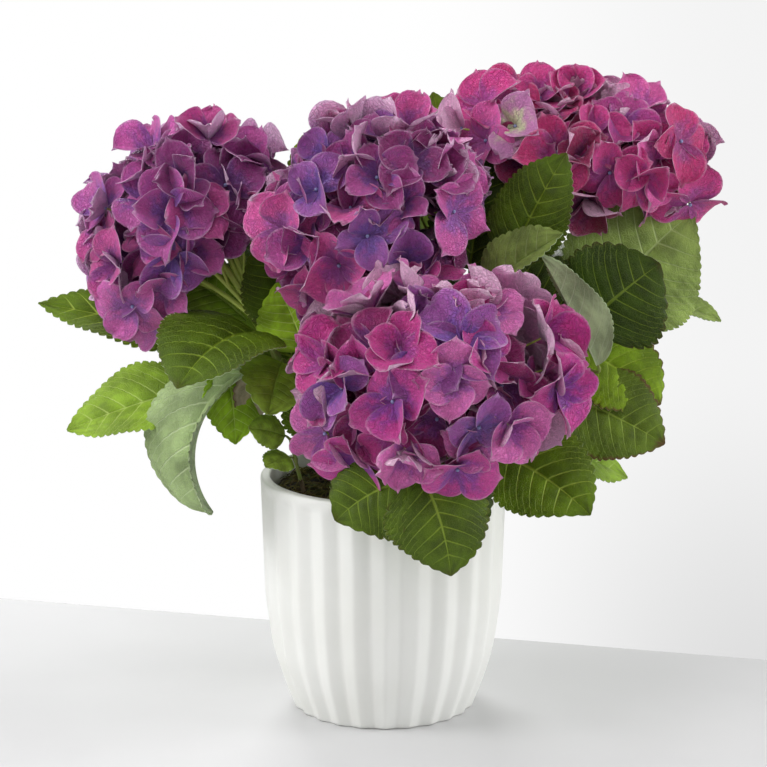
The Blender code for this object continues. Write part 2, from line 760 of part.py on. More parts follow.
def build():
    clear_scene()
    ground = [(thing.name, tree_of(mesh_shape(thing))) for thing in (pot(), root_ball(), moss())]
    limbs = {}
    for name, shoot in SHOOTS.items():
        cane(name)
        limbs[name] = ("limb " + name, tree_of(swollen(shoot.route, 0.0, 1.0, shoot.radius)))
    cores = [("core " + name, tree_of(core_shape(bloom))) for name, bloom in BLOOMS.items()]
    taken = list(ground)
    leaves = {}
    for name in SHOOTS:
        others = [limb for other, limb in limbs.items() if other != name]
        leaves[name] = chosen_leaves(name, taken + others + cores)
        taken += [(known, tree_of(shape)) for known, shape in leaves[name]]
    for name in SHOOTS:
        luck = random.Random(f"leaves {name} {SEED}")
        others = [limb for other, limb in limbs.items() if other != name]
        paired = paired_leaves(name, taken + others + cores, luck)
        taken += [(known, tree_of(shape)) for known, shape in paired]
        leaf_mass(name, leaves[name] + paired)
    for name in BLOOMS:
        luck = random.Random(f"bloom {name} {SEED}")
        others = [limb for other, limb in limbs.items() if other != name]
        taken += bloom_head(name, taken + others, luck)


build()
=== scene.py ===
# %% [markdown]
# # A potted hydrangea in full bloom
# The plain solids of the shrub hold its sizes: a ribbed pot, mossy soil, woody canes, leafy shoots and four
# mophead blooms. This lesson grows the fine plant in the same room: serrated leaves with sunken veins,
# florets of four broad sepals, bark, moss and glaze. Rules, a few tables and named sizes give every shape,
# and every random draw is seeded, so the plant comes out the same each time.

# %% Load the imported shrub
import math
import random
from collections import namedtuple

import bmesh
import bpy
import numpy as np
from mathutils import Matrix, Vector
from mathutils.bvhtree import BVHTree


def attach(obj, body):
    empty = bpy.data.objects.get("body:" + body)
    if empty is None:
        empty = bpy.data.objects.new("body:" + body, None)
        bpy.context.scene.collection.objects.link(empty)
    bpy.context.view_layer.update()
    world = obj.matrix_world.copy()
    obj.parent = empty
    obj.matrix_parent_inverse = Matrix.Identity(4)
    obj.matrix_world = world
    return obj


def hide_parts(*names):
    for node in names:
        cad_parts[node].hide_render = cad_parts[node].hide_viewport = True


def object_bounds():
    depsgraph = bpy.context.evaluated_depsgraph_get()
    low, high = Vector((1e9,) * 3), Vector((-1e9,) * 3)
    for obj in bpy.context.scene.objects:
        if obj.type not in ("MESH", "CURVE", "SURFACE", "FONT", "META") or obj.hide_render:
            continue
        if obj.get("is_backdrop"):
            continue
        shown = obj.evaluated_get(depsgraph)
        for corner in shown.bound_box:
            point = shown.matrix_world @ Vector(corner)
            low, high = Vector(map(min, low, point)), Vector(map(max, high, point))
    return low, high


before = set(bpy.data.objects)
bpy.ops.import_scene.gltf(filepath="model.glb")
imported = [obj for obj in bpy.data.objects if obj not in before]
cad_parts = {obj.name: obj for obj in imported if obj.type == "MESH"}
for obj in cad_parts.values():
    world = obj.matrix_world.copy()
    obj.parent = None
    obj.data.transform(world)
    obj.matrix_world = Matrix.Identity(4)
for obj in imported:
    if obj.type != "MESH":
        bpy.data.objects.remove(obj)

MM = 0.001
SEED = 7
PICTURE = 767
cad_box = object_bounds()
print("solids reach from", [round(v, 4) for v in cad_box[0]], "to", [round(v, 4) for v in cad_box[1]])

# %% [markdown]
# ## The camera
# A long lens from nearly two metres keeps the pot's sides almost straight. The camera looks a little down,
# so that the rim opens into an ellipse and the soil shows. Its lens is worked out from the number of pixels
# that one radian covers.

# %% Make the camera
LOOK_AT = Vector((0, 0, 0.2213))
CAMERA_HEIGHT = math.radians(12.5)
CAMERA_DISTANCE = 1.8
PIXELS_PER_RADIAN = 2705
SENSOR = 36

forward = Vector((0, math.cos(CAMERA_HEIGHT), -math.sin(CAMERA_HEIGHT)))
upward = Vector((0, math.sin(CAMERA_HEIGHT), math.cos(CAMERA_HEIGHT)))
lens = bpy.data.cameras.new("studio_lens")
lens.sensor_width = SENSOR
lens.lens = PIXELS_PER_RADIAN / PICTURE * SENSOR
camera = bpy.data.objects.new("studio_camera", lens)
camera.location = LOOK_AT - forward * CAMERA_DISTANCE
camera.rotation_euler = (math.pi / 2 - CAMERA_HEIGHT, 0, 0)
bpy.context.scene.collection.objects.link(camera)
bpy.context.scene.camera = camera
print("lens", round(lens.lens, 1), "mm")

# %% [markdown]
# ## The shrub's plan
# A shoot is a woody cane that runs on as a green stem. Leaves leave the stem in a list for the ones that show
# from the front, and in crossed pairs behind. A bloom is an ellipsoid of florets. The same tables shaped the
# solids, so the fine plant keeps their reach. Sizes are in millimetres and angles in degrees. A leaf's aft
# says how slender it is toward its tip.

# %% Write down shoots, leaves and blooms
LEAF_FOLD = 12
LEAF_AFT = 0.84
SOIL_TOP = 143
CANE_FOOT = SOIL_TOP + 0.3
Shoot = namedtuple("Shoot", "route radius cane leafy")
Leaf = namedtuple(
    "Leaf", "at heading reach lift length width turn rise droop roll fold aft", defaults=(LEAF_FOLD, LEAF_AFT)
)
Bloom = namedtuple("Bloom", "centre radii size tilt")
SHOOTS = {
    "left": Shoot(((-30, 5, CANE_FOOT), (-60, 8, 205), (-84, 16, 275), (-116, 34, 326)), 3.6, 0.28, 0.62),
    "middle": Shoot(((-6, 14, CANE_FOOT), (-18, 20, 210), (-6, 8, 275), (-4, 0, 336)), 3.9, 0.26, 0.58),
    "front": Shoot(((12, -20, CANE_FOOT), (12, -28, 175), (22, -52, 205), (32, -80, 243)), 3.8, 0.26, 0.48),
    "right": Shoot(((32, 16, CANE_FOOT), (58, 22, 215), (92, 48, 290), (130, 80, 365)), 3.9, 0.24, 0.66),
    "side": Shoot(((44, -8, CANE_FOOT), (66, -12, 175), (98, -6, 215), (126, 4, 256)), 3.0, 0.3, 1.0),
    "back_left": Shoot(((-22, 38, CANE_FOOT), (-34, 66, 200), (-48, 96, 250), (-54, 112, 300)), 3.2, 0.3, 1),
    "back_right": Shoot(((18, 42, CANE_FOOT), (26, 74, 200), (36, 104, 250), (44, 122, 300)), 3.2, 0.3, 1.0),
    "young": Shoot(((-50, -26, CANE_FOOT), (-54, -28, 160), (-58, -32, 176), (-61, -34, 192)), 1.5, 0.4, 1),
}

LEAVES = {
    "left": (
        Leaf(0.32, -172, 62, 11, 94, 52, -10, -6, 12, -40),
        Leaf(0.36, -150, 34, 22, 108, 84, 0, -34, 78, 62, 24),
        Leaf(0.46, -126, 24, 26, 96, 82, 4, 14, 54, -14, 16),
        Leaf(0.46, 140, 58, 9, 126, 62, 34, 13, 4, -34),
        Leaf(0.56, 140, 18, 8, 64, 56, 0, 32, 20, -40),
        Leaf(0.42, -95, 20, 14, 50, 52, -5, -20, 22, -24),
    ),
    "middle": (
        Leaf(0.44, 138, 26, 12, 62, 56, 4, 34, 12, -60),
        Leaf(0.54, 150, 20, 12, 92, 60, 0, 52, 22, -30),
    ),
    "front": (
        Leaf(0.34, -90, 36, 6, 86, 98, 20, -14, 66, -6, -8),
        Leaf(0.42, -66, 26, -6, 44, 44, -8, -20, 26, 6),
        Leaf(0.30, -126, 24, 4, 54, 40, 0, 4, 46, 0),
    ),
    "right": (
        Leaf(0.62, 10, 24, 14, 122, 100, -22, -8, 20, 64, 8),
        Leaf(0.58, -98, 46, 26, 74, 50, 90, 66, 8, 66),
        Leaf(0.50, -124, 48, 26, 52, 24, 118, 40, 8, 40, 34),
        Leaf(0.58, 170, 20, 10, 92, 60, -40, 74, 14, -70),
        Leaf(0.34, 60, 26, 6, 104, 72, 0, 20, 40, 10),
        Leaf(0.64, 84, 20, 6, 96, 60, 10, 30, 36, 0),
    ),
    "side": (
        Leaf(0.24, -76, 22, 6, 84, 70, 36, -8, 26, 36),
        Leaf(0.40, 12, 22, -4, 76, 56, 0, -10, 22, 24),
        Leaf(0.62, -8, 30, 2, 66, 62, -4, -14, 18, 56),
        Leaf(0.82, 0, 22, 0, 62, 58, -4, -8, 26, 54),
        Leaf(0.98, -60, 14, -4, 82, 84, 8, 44, 8, 84),
        Leaf(0.90, -50, 22, -8, 76, 42, -134, 60, 8, -30, 40),
    ),
    "back_left": (
        Leaf(0.98, 118, 12, 6, 104, 70, 0, 40, 56, 0),
        Leaf(0.96, 30, 12, 6, 78, 56, 20, 66, 14, 0),
    ),
    "back_right": (
        Leaf(0.98, 84, 12, 6, 104, 70, 0, 44, 60, 0),
        Leaf(0.94, -160, 14, 8, 96, 58, -40, 80, 6, 0),
    ),
    "young": (
        Leaf(0.96, -160, 4, 4, 26, 26, 0, 26, 20, -50),
        Leaf(0.92, -10, 8, 6, 22, 22, 0, 30, 20, 50),
        Leaf(0.70, -130, 5, 2, 24, 22, 0, 10, 30, -30),
    ),
}

PAIRS = {
    "left": (0.32, 0.44, 0.56),
    "middle": (0.34, 0.45, 0.56),
    "right": (0.28, 0.36, 0.46, 0.56, 0.64),
    "side": (0.34, 0.5, 0.7),
    "back_left": (0.33, 0.44, 0.55, 0.66, 0.78, 0.88, 0.97),
    "back_right": (0.33, 0.44, 0.55, 0.66, 0.78, 0.88, 0.97),
}
# How often a pair's leaf is tried, how long it may be, how much shorter the last tries are, its width for
# its length, how far it may swing off its heading at the first and last try, and its stalk and pose.
PAIR_TRIES = 160
PAIR_LENGTHS = (100, 128)
PAIR_SHRINK = 40
PAIR_WIDTHS = (0.64, 0.74)
PAIR_SPREAD = (20, 50)
PAIR_REACH = (14, 36)
PAIR_LIFT = (0, 16)
PAIR_TURN = (-14, 14)
PAIR_RISE = (0, 60)
PAIR_DROOP = (30, 70)
PAIR_ROLL = (-24, 24)
# The room for these pairs, in millimetres: behind the canes and between the leaves that the front shows.
PAIR_ROOM = ((-124, 160), (6, 212), (172, 360))

BLOOMS = {
    "front": Bloom((33, -82, 244), (103, 78, 77), 1.04, 0),
    "middle": Bloom((-10, -8, 338), (89, 73, 75), 1.0, 40),
    "left": Bloom((-133, 42, 325), (92, 70, 70), 1.0, 46),
    "right": Bloom((132, 86, 367), (98, 76, 57), 1.0, -8),
}

print(len(SHOOTS), "shoots,", sum(map(len, LEAVES.values())), "listed leaves and", len(BLOOMS), "blooms")

# %% [markdown]
# ## Where limbs run
# Each shoot is one cubic curve from the soil to its tip. A point on it, a direction from a heading and a
# slope, and a round tapering tube are the three things that every limb, stalk and leaf is made from.

# %% Curves and directions
GAP = 0.3 * MM
TIP_TAPER = 0.72
LIMB_STEP = 11


def bezier(controls, share):
    """The point at this share of a cubic curve."""
    away = 1 - share
    weights = (away**3, 3 * away**2 * share, 3 * away * share**2, share**3)
    return sum((Vector(point) * MM * weight for point, weight in zip(controls, weights)), Vector())


def stretch(controls, start, end, step=LIMB_STEP):
    """Points along a curve from one share of it to another, about a step apart in millimetres."""
    length = (bezier(controls, end) - bezier(controls, start)).length / MM
    count = max(2, round(length / step))
    return [bezier(controls, start + (end - start) * i / count) for i in range(count + 1)]


def polar(heading, rise):
    """A direction from a heading and a slope in degrees."""
    flat = math.cos(math.radians(rise))
    turn = math.radians(heading)
    return Vector((flat * math.cos(turn), flat * math.sin(turn), math.sin(math.radians(rise))))


def stem_start(shoot):
    """The share of a shoot at which its green stem leaves the cane."""
    controls = shoot.route
    speed = (bezier(controls, shoot.cane + 0.001) - bezier(controls, shoot.cane - 0.001)).length / 0.002
    return shoot.cane + GAP / speed


def limb_radius(shoot, share):
    """The radius of a shoot at a share of its length: it tapers all the way to its tip."""
    return shoot.radius * (1 - (1 - TIP_TAPER) * share) * MM


for name, shoot in SHOOTS.items():
    tip = bezier(shoot.route, 1.0)
    print(name, "runs to", [round(v, 3) for v in tip])

# %% [markdown]
# ## A simple stand-in for each leaf
# Before a fine leaf is made, a light stand-in of five steps tells whether there is room for it. A leaf that
# would run into a limb, the pot, a bloom or another leaf isn't placed. The test is Blender's tree of
# triangles, which finds crossing faces quickly.

# %% Stand-ins and the test for touching
LEAF_STATIONS = 5
STALK_STATIONS = 2
STALK_RADIUS = 1.5
STALK_BEND = 0.45
LEAF_THICKNESS = 1.7
LEAF_TIP_WIDTH = 1.6
LEAF_RING = 4
LEAF_FORE = 0.55
SOLID_LEAF_AFT = 0.78
LIMB_ROOM = 1.2
LIMB_SIDES = 5
CORE_SHARE = 0.56


def lofted(rings):
    """A closed skin over rings of points that all have the same count."""
    sides = len(rings[0])
    points = [point for ring in rings for point in ring]
    faces = [tuple(range(sides))[::-1]]
    for level in range(len(rings) - 1):
        low = level * sides
        for side in range(sides):
            beside = (side + 1) % sides
            faces.append((low + side, low + beside, low + sides + beside, low + sides + side))
    top = (len(rings) - 1) * sides
    faces.append(tuple(range(top, top + sides)))
    return points, faces


def frame_along(tangent, side):
    """The side and upper directions square to a tangent, the side as near to the given one as it can be."""
    across = (side - tangent * side.dot(tangent)).normalized()
    return across, tangent.cross(across)


def leaf_half_width(share, aft):
    """The half width of an ovate blade at a share of its length, as a share of the widest."""
    widest = LEAF_FORE / (LEAF_FORE + aft)
    most = widest**LEAF_FORE * (1 - widest) ** aft
    return share**LEAF_FORE * (1 - share) ** aft / most


def leaf_foot(leaf, root):
    """The place where a leaf's stalk ends and its blade starts."""
    return root + polar(leaf.heading, 0) * leaf.reach * MM + Vector((0, 0, leaf.lift * MM))


def stalk_line(leaf, root, stations):
    """Points along a leaf's stalk, a soft bend from the stem to the blade's foot."""
    foot = leaf_foot(leaf, root)
    bend = foot - polar(leaf.heading + leaf.turn, leaf.rise) * (foot - root).length * STALK_BEND
    shares = [index / stations for index in range(stations)]
    return [root * (1 - s) ** 2 + bend * 2 * s * (1 - s) + foot * s**2 for s in shares]


def leaf_stand_in(leaf, root):
    """The plain leaf of the solids: four points to a station."""
    heading = leaf.heading + leaf.turn
    line = stalk_line(leaf, root, STALK_STATIONS) + [leaf_foot(leaf, root)]
    piece = leaf.length * MM / LEAF_STATIONS
    for index in range(LEAF_STATIONS):
        slope = leaf.rise - leaf.droop * (index + 0.5) / LEAF_STATIONS
        line.append(line[-1] + polar(heading, slope) * piece)
    roll = math.radians(leaf.roll)
    rings = []
    for index, centre in enumerate(line):
        ahead = line[min(index + 1, len(line) - 1)] - line[max(index - 1, 0)]
        side, up = frame_along(ahead.normalized(), polar(heading + 90, 0))
        side, up = side * math.cos(roll) + up * math.sin(roll), up * math.cos(roll) - side * math.sin(roll)
        share = (index - STALK_STATIONS) / LEAF_STATIONS
        broad = leaf_half_width(min(max(share, 0), 1), SOLID_LEAF_AFT) * leaf.width / 2
        half = max(broad, STALK_RADIUS) * MM
        if share >= 1:
            half = LEAF_TIP_WIDTH / 2 * MM
        thick = max(LEAF_THICKNESS * (1 - 0.4 * share), STALK_RADIUS * 2 * (share < 0.02)) * MM / 2
        lean = math.radians(leaf.fold) if 0 < share < 1 else 0.0
        out = side * math.cos(lean) * half
        lifted = centre + up * math.sin(lean) * half
        rings.append([lifted - out, centre - up * thick, lifted + out, centre + up * thick])
    return lofted(rings)


def swollen(shoot):
    """A shoot with room round it, which no leaf of another shoot may enter."""
    rings = []
    route = stretch(shoot.route, 0.0, 1.0)
    for index, centre in enumerate(route):
        ahead = route[min(index + 1, len(route) - 1)] - route[max(index - 1, 0)]
        across, up = frame_along(ahead.normalized(), Vector((1, 0, 0)))
        turns = [2 * math.pi * side / LIMB_SIDES for side in range(LIMB_SIDES)]
        radius = (shoot.radius + LIMB_ROOM) * MM
        rings.append([centre + radius * (math.cos(a) * across + math.sin(a) * up) for a in turns])
    return lofted(rings)


def bloom_matrix(bloom):
    """Turns a direction into a place on the bloom's surface, measured from its centre."""
    tilt = Matrix.Rotation(-math.radians(bloom.tilt), 3, "Y")
    return tilt @ Matrix.Diagonal(Vector(bloom.radii) * MM) @ tilt.transposed()


def bloom_core(bloom, share=CORE_SHARE):
    """A rough ball in the middle of a bloom, which leaves keep out of."""
    ball = bmesh.new()
    bmesh.ops.create_icosphere(ball, subdivisions=2, radius=1.0)
    squash = bloom_matrix(bloom) * share
    points = [Vector(bloom.centre) * MM + squash @ vert.co for vert in ball.verts]
    faces = [tuple(vert.index for vert in face.verts) for face in ball.faces]
    ball.free()
    return points, faces


def tree_of(shape):
    """The tree of triangles of a shape's points and faces."""
    return BVHTree.FromPolygons([tuple(point) for point in shape[0]], shape[1])


def touches(tree, others):
    """Whether a shape crosses any of the others."""
    return any(tree.overlap(other) for other in others)


ground = []
for name in ("pot", "root_ball", "moss"):
    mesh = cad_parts[name].data
    ground.append(tree_of(([v.co for v in mesh.vertices], [tuple(p.vertices) for p in mesh.polygons])))
limb_trees = {name: tree_of(swollen(shoot)) for name, shoot in SHOOTS.items()}
core_trees = [tree_of(bloom_core(bloom)) for bloom in BLOOMS.values()]
print("kept clear:", len(ground), "solids,", len(limb_trees), "shoots,", len(core_trees), "blooms")

# %% [markdown]
# ## Dealing out the leaves
# Hydrangea leaves stand in opposite pairs, each pair a quarter turn on from the one below. The listed leaves
# go first. Then each pair of the far side tries a seeded length, slope and heading until it fits.

# %% Place every leaf
def in_pair_room(shape):
    """Whether every point of a blade lies in the room behind the canes."""
    for point in shape[0][LEAF_RING * (STALK_STATIONS + 1):]:
        if not all(low * MM <= value <= high * MM for value, (low, high) in zip(point, PAIR_ROOM)):
            return False
    return True


def pair_leaf(shoot, at, heading, blocked, luck):
    """A leaf near this heading that fits between what stands already, with its tree, or None."""
    for attempt in range(PAIR_TRIES):
        share = attempt / PAIR_TRIES
        length = luck.uniform(*PAIR_LENGTHS) - PAIR_SHRINK * share
        spread = PAIR_SPREAD[0] + (PAIR_SPREAD[1] - PAIR_SPREAD[0]) * share
        leaf = Leaf(
            at=at,
            heading=heading + luck.uniform(-spread, spread),
            reach=luck.uniform(*PAIR_REACH),
            lift=luck.uniform(*PAIR_LIFT),
            length=length,
            width=length * luck.uniform(*PAIR_WIDTHS),
            turn=luck.uniform(*PAIR_TURN),
            rise=luck.uniform(*PAIR_RISE),
            droop=luck.uniform(*PAIR_DROOP),
            roll=luck.uniform(*PAIR_ROLL),
        )
        shape = leaf_stand_in(leaf, bezier(shoot.route, at))
        tree = tree_of(shape)
        if in_pair_room(shape) and not touches(tree, blocked):
            return leaf, tree
    return None


def other_limbs(name):
    """The trees of all shoots but this one."""
    return [tree for other, tree in limb_trees.items() if other != name]


placed = {name: [] for name in SHOOTS}
taken = list(ground)
for name, shoot in SHOOTS.items():
    blocked = taken + other_limbs(name) + core_trees
    for leaf in LEAVES[name]:
        root = bezier(shoot.route, max(leaf.at, stem_start(shoot) + 0.02))
        tree = tree_of(leaf_stand_in(leaf, root))
        if not touches(tree, blocked):
            placed[name].append((leaf, root))
            taken.append(tree)
for name, shoot in SHOOTS.items():
    luck = random.Random(f"leaves {name} {SEED}")
    blocked = taken + other_limbs(name) + core_trees
    heading = luck.uniform(0, 180)
    for at in PAIRS.get(name, ()):
        heading += 90
        for side in (0, 180):
            found = pair_leaf(shoot, at, heading + side, blocked, luck)
            if found:
                placed[name].append((found[0], bezier(shoot.route, at)))
                blocked.append(found[1])
                taken.append(found[1])
print({name: len(leaves) for name, leaves in placed.items()})

# %% [markdown]
# ## Leaves set one by one
# A florist turns and tucks leaves until the plant looks its best, and some of these need the same care. A
# few listed leaves get a finer pose in the same room, and small leaves fill the gaps between the blooms and
# low at the back. Each small leaf names the green that it wears. Nothing is tested for touching here.

# %% Pose some leaves again and add the small ones
POSED = {
    "left": {
        0: Leaf(0.32, 176, 69, 11, 91, 58, 8, -12, 12, -38, 12),
        1: Leaf(0.36, -140, 40, 20, 111, 68, -20, -23, 106, -8, 30, 0.56),
        3: Leaf(0.46, 140, 58, 9, 126, 50, 34, 13, 4, -32),
    },
    "middle": {0: Leaf(0.40, -155, 46, 22, 49, 52, -32, 75, 14, -90, 8)},
    "front": {0: Leaf(0.34, -83, 67, 10, 69, 68, 35, -47, 36, 30, -4)},
    "right": {
        0: Leaf(0.62, -7, 57, -22, 98, 100, 22, 58, 24, 72, 6),
        1: Leaf(0.58, -93, 42, 32, 82, 54, 87, 67, 8, 76, 10),
        2: Leaf(0.50, -101, 51, 36, 63, 38, 89, 40, 8, 39, 34),
        3: Leaf(0.54, -154, 25, 31, 81, 64, -174, 84, 14, 47, 8),
    },
    "side": {
        2: Leaf(0.62, 1, 30, 3, 71, 66, -9, -18, 14, 60, 8),
        3: Leaf(0.82, 20, 26, 8, 62, 60, -27, -25, 20, 59, 8),
        4: Leaf(0.98, -41, 13, 9, 63, 80, 37, 46, 10, 84, 6),
        5: Leaf(0.90, -45, 33, -5, 85, 36, -124, 66, 8, 29, 36),
    },
}
TUCKED = {
    "left": (
        ("lit", Leaf(0.38, -158, 45, 19, 53, 42, 105, -69, 20, 10, 12)),
        ("withered", Leaf(0.40, -138, 23, 10, 35, 26, -19, -49, 70, -74, 30)),
    ),
    "middle": (
        ("bright", Leaf(0.56, 128, 56, 86, 42, 34, 25, 78, 8, -60, 10)),
        ("dark", Leaf(0.36, -177, 45, 40, 69, 60, -12, 75, 16, -80, 8)),
        ("mid", Leaf(0.34, 176, 22, 14, 76, 66, 2, 26, 20, -70, 8)),
    ),
    "front": (
        ("dark", Leaf(0.40, -88, 68, 1, 58, 66, -98, -10, 40, -73, 6)),
        ("deep", Leaf(0.36, -74, 64, 4, 45, 50, 59, -36, 24, 53, 8)),
        ("mid", Leaf(0.30, 167, 51, 15, 52, 50, 23, 72, 14, -105, 8)),
    ),
    "right": (
        ("deep", Leaf(0.46, -24, 54, 7, 63, 62, -166, 64, 14, -74, 8)),
        ("bright", Leaf(0.66, 159, 28, 37, 53, 40, -130, 81, 10, 82, 10)),
        ("mid", Leaf(0.70, 166, 55, 53, 58, 40, -8, 83, 8, -59, 10)),
        ("sage", Leaf(0.62, 9, 87, -14, 59, 30, -9, 1, 30, 29, 20)),
    ),
    "side": (("dark", Leaf(0.30, -174, 9, 11, 55, 56, 167, 39, 14, 87, 8)),),
    "back_left": (
        ("mid", Leaf(0.36, 100, 34, 2, 74, 54, 4, 14, 50, 10, 14)),
        ("dark", Leaf(0.30, 142, 34, 4, 66, 50, -8, 10, 46, -12, 14)),
    ),
    "back_right": (
        ("dark", Leaf(0.36, 78, 34, 2, 76, 56, -6, 12, 52, -8, 14)),
        ("mid", Leaf(0.30, 34, 34, 4, 66, 50, 6, 12, 46, 12, 14)),
    ),
}
for name, poses in POSED.items():
    for number, leaf in poses.items():
        placed[name][number] = (leaf, bezier(SHOOTS[name].route, leaf.at))
listed_count = {name: len(leaves) for name, leaves in placed.items()}
for name, leaves in TUCKED.items():
    placed[name] += [(leaf, bezier(SHOOTS[name].route, leaf.at)) for tone, leaf in leaves]
taken = ground + [tree_of(leaf_stand_in(leaf, root)) for leaves in placed.values() for leaf, root in leaves]
print(sum(map(len, TUCKED.values())), "leaves tucked in,", sum(map(len, placed.values())), "in all")

# %% [markdown]
# ## Gathering a piece
# Thousands of petals as thousands of objects would be slow and hard to handle, so each kind is gathered into
# one mesh. Every part hands over its points, its four-sided faces and a flat map that says where on the
# petal or leaf a corner lies. The materials draw their veins by that map. A second map sets the finishes
# side by side in one square, each finish in a tile of its own.

# %% The basket that makes a piece
TILE_MARGIN = 0.02


class Basket:
    """Gathers parts until they become one object."""

    def __init__(self):
        self.points, self.quads, self.maps, self.finishes, self.total = [], [], [], [], 0

    def add(self, points, quads, flat_map, finish):
        """Takes in a part. Its finish is one number, or one for each face."""
        self.points.append(points)
        self.quads.append(quads + self.total)
        self.maps.append(flat_map)
        self.finishes.append(np.broadcast_to(np.asarray(finish, np.int32), len(quads)))
        self.total += len(points)

    def add_sheet(self, upper, under, flat_map, finish, back):
        """Takes in a thin closed sheet with one finish on its face and another below and round its rim."""
        points, quads, maps, faces = closed_sheet(upper, under, flat_map)
        self.add(points, quads, maps, np.where(np.arange(len(quads)) < faces, finish, back))

    def piece(self, name, materials, nodes, slot, sharp=50):
        """The object made of all parts. It rides on the plant and stands for its plain nodes."""
        points = np.concatenate(self.points)
        quads = np.concatenate(self.quads).astype(np.int32)
        flat_map = np.concatenate(self.maps)
        finishes = np.concatenate(self.finishes)
        mesh = bpy.data.meshes.new(name)
        mesh.vertices.add(len(points))
        mesh.vertices.foreach_set("co", points.astype(np.float32).ravel())
        mesh.loops.add(quads.size)
        mesh.loops.foreach_set("vertex_index", quads.ravel())
        mesh.polygons.add(len(quads))
        mesh.polygons.foreach_set("loop_start", np.arange(0, quads.size, 4, dtype=np.int32))
        mesh.polygons.foreach_set("material_index", finishes)
        mesh.update(calc_edges=True)
        for material in materials:
            mesh.materials.append(material)
        sheet = mesh.uv_layers.new(name="sheet")
        sheet.uv.foreach_set("vector", flat_map.astype(np.float32).ravel())
        across = math.ceil(math.sqrt(len(materials)))
        corner = np.stack([finishes % across, finishes // across], -1)[:, None, :]
        tiled = (corner + TILE_MARGIN + (1 - 2 * TILE_MARGIN) * flat_map) / across
        mesh.uv_layers.new(name="OFBake").uv.foreach_set("vector", tiled.astype(np.float32).ravel())
        mesh.shade_smooth()
        mesh.set_sharp_from_angle(angle=math.radians(sharp))
        thing = bpy.data.objects.new(name, mesh)
        bpy.context.scene.collection.objects.link(thing)
        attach(thing, "root")
        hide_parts(*nodes)
        print(f"{name}: {len(quads) * 2} triangles")
        return thing


# %% [markdown]
# ## Sheets, tubes and beads
# A petal or a leaf is a closed sheet: a grid of points for its face, a second grid just under it, and a rim
# of faces between them. A stalk is a tube whose rings follow the curve without twisting. A bead is a tube
# that swells and closes again.

# %% Closed sheets, tubes and beads
RIM_INSET = 0.03
BEAD_RINGS = 6
BEAD_END = 0.12
TUBE_CAP = ((0, 0), (0, 0.1), (0.1, 0.1), (0.1, 0))


def closed_sheet(upper, under, flat_map):
    """A thin solid between two grids of points: points, faces, map and how many faces are on its face."""
    rows, columns = upper.shape[:2]
    index = np.arange(rows * columns).reshape(rows, columns)
    faces = np.stack([index[:-1, :-1], index[1:, :-1], index[1:, 1:], index[:-1, 1:]], -1).reshape(-1, 4)
    base = rows * columns
    edges = (
        (index[:-1, 0], index[1:, 0], (0, RIM_INSET)),
        (index[1:, -1], index[:-1, -1], (0, -RIM_INSET)),
        (index[0, 1:], index[0, :-1], (RIM_INSET, 0)),
        (index[-1, :-1], index[-1, 1:], (-RIM_INSET, 0)),
    )
    turned_over = faces[:, [0, 3, 2, 1]]
    quads = [faces, turned_over + base]
    places = flat_map.reshape(-1, 2)
    maps = [places[faces], places[turned_over]]
    for first, second, inset in edges:
        quads.append(np.stack([first, first + base, second + base, second], -1))
        inner = np.array(inset)
        corners = [places[first], places[first] + inner, places[second] + inner, places[second]]
        maps.append(np.stack(corners, 1))
    points = np.concatenate([upper.reshape(-1, 3), under.reshape(-1, 3)])
    return points, np.concatenate(quads), np.concatenate(maps), len(faces)


def ring_skin(rings, starts, step, cap):
    """Points, faces and map of a closed skin over rings of points, with each end's corners at the cap."""
    count, sides = rings.shape[:2]
    index = np.arange(count * sides).reshape(count, sides)
    beside = np.roll(index, -1, 1)
    quads = np.stack([index[:-1], beside[:-1], beside[1:], index[1:]], -1).reshape(-1, 4)
    low = np.stack(np.meshgrid(starts, np.arange(sides) / sides, indexing="ij"), -1).reshape(-1, 2)
    corners = ((0, 0), (0, 1 / sides), (step, 1 / sides), (step, 0))
    maps = np.stack([low + np.array(corner) for corner in corners], 1)
    caps = np.array([(i, i + 1, sides - 2 - i, sides - 1 - i) for i in range(sides // 2 - 1)])
    quads = np.concatenate([quads, caps[:, ::-1], caps + index[-1, 0]])
    maps = np.concatenate([maps, np.repeat(np.array(cap, float)[None], 2 * len(caps), 0)])
    return rings.reshape(-1, 3), quads, maps


def unit(vectors):
    """The same directions, each one long."""
    return vectors / np.maximum(np.linalg.norm(vectors, axis=-1, keepdims=True), 1e-12)


def tube(route, radii, sides=8, swell=None):
    """Points, faces and map of a round limb. swell(around, along) moves its skin in and out."""
    route = np.array([tuple(point) for point in route], float)
    radii = np.asarray(radii, float)
    ahead = unit(np.gradient(route, axis=0))
    side = unit(np.cross(ahead[0], (0.31, 0.83, 0.47)))
    sides_along = []
    for direction in ahead:
        side = unit(side - direction * side.dot(direction))
        sides_along.append(side)
    across = np.array(sides_along)
    third = np.cross(ahead, across)
    turns = 2 * np.pi * np.arange(sides) / sides
    along = np.linspace(0, 1, len(route))
    reach = radii[:, None] * np.ones(sides)
    if swell is not None:
        reach = reach + swell(turns[None, :], along[:, None])
    skin = route[:, None] + reach[..., None] * (
        np.cos(turns)[None, :, None] * across[:, None] + np.sin(turns)[None, :, None] * third[:, None]
    )
    return ring_skin(skin, along[:-1], along[1] - along[0], TUBE_CAP)


def bead(centre, axis, radius):
    """A small ball as a tube whose rings swell and close."""
    turns = np.linspace(BEAD_END, np.pi - BEAD_END, BEAD_RINGS)
    axis = np.asarray(axis, float)
    route = [np.asarray(centre, float) - axis * radius * math.cos(turn) for turn in turns]
    return tube(route, radius * np.sin(turns))


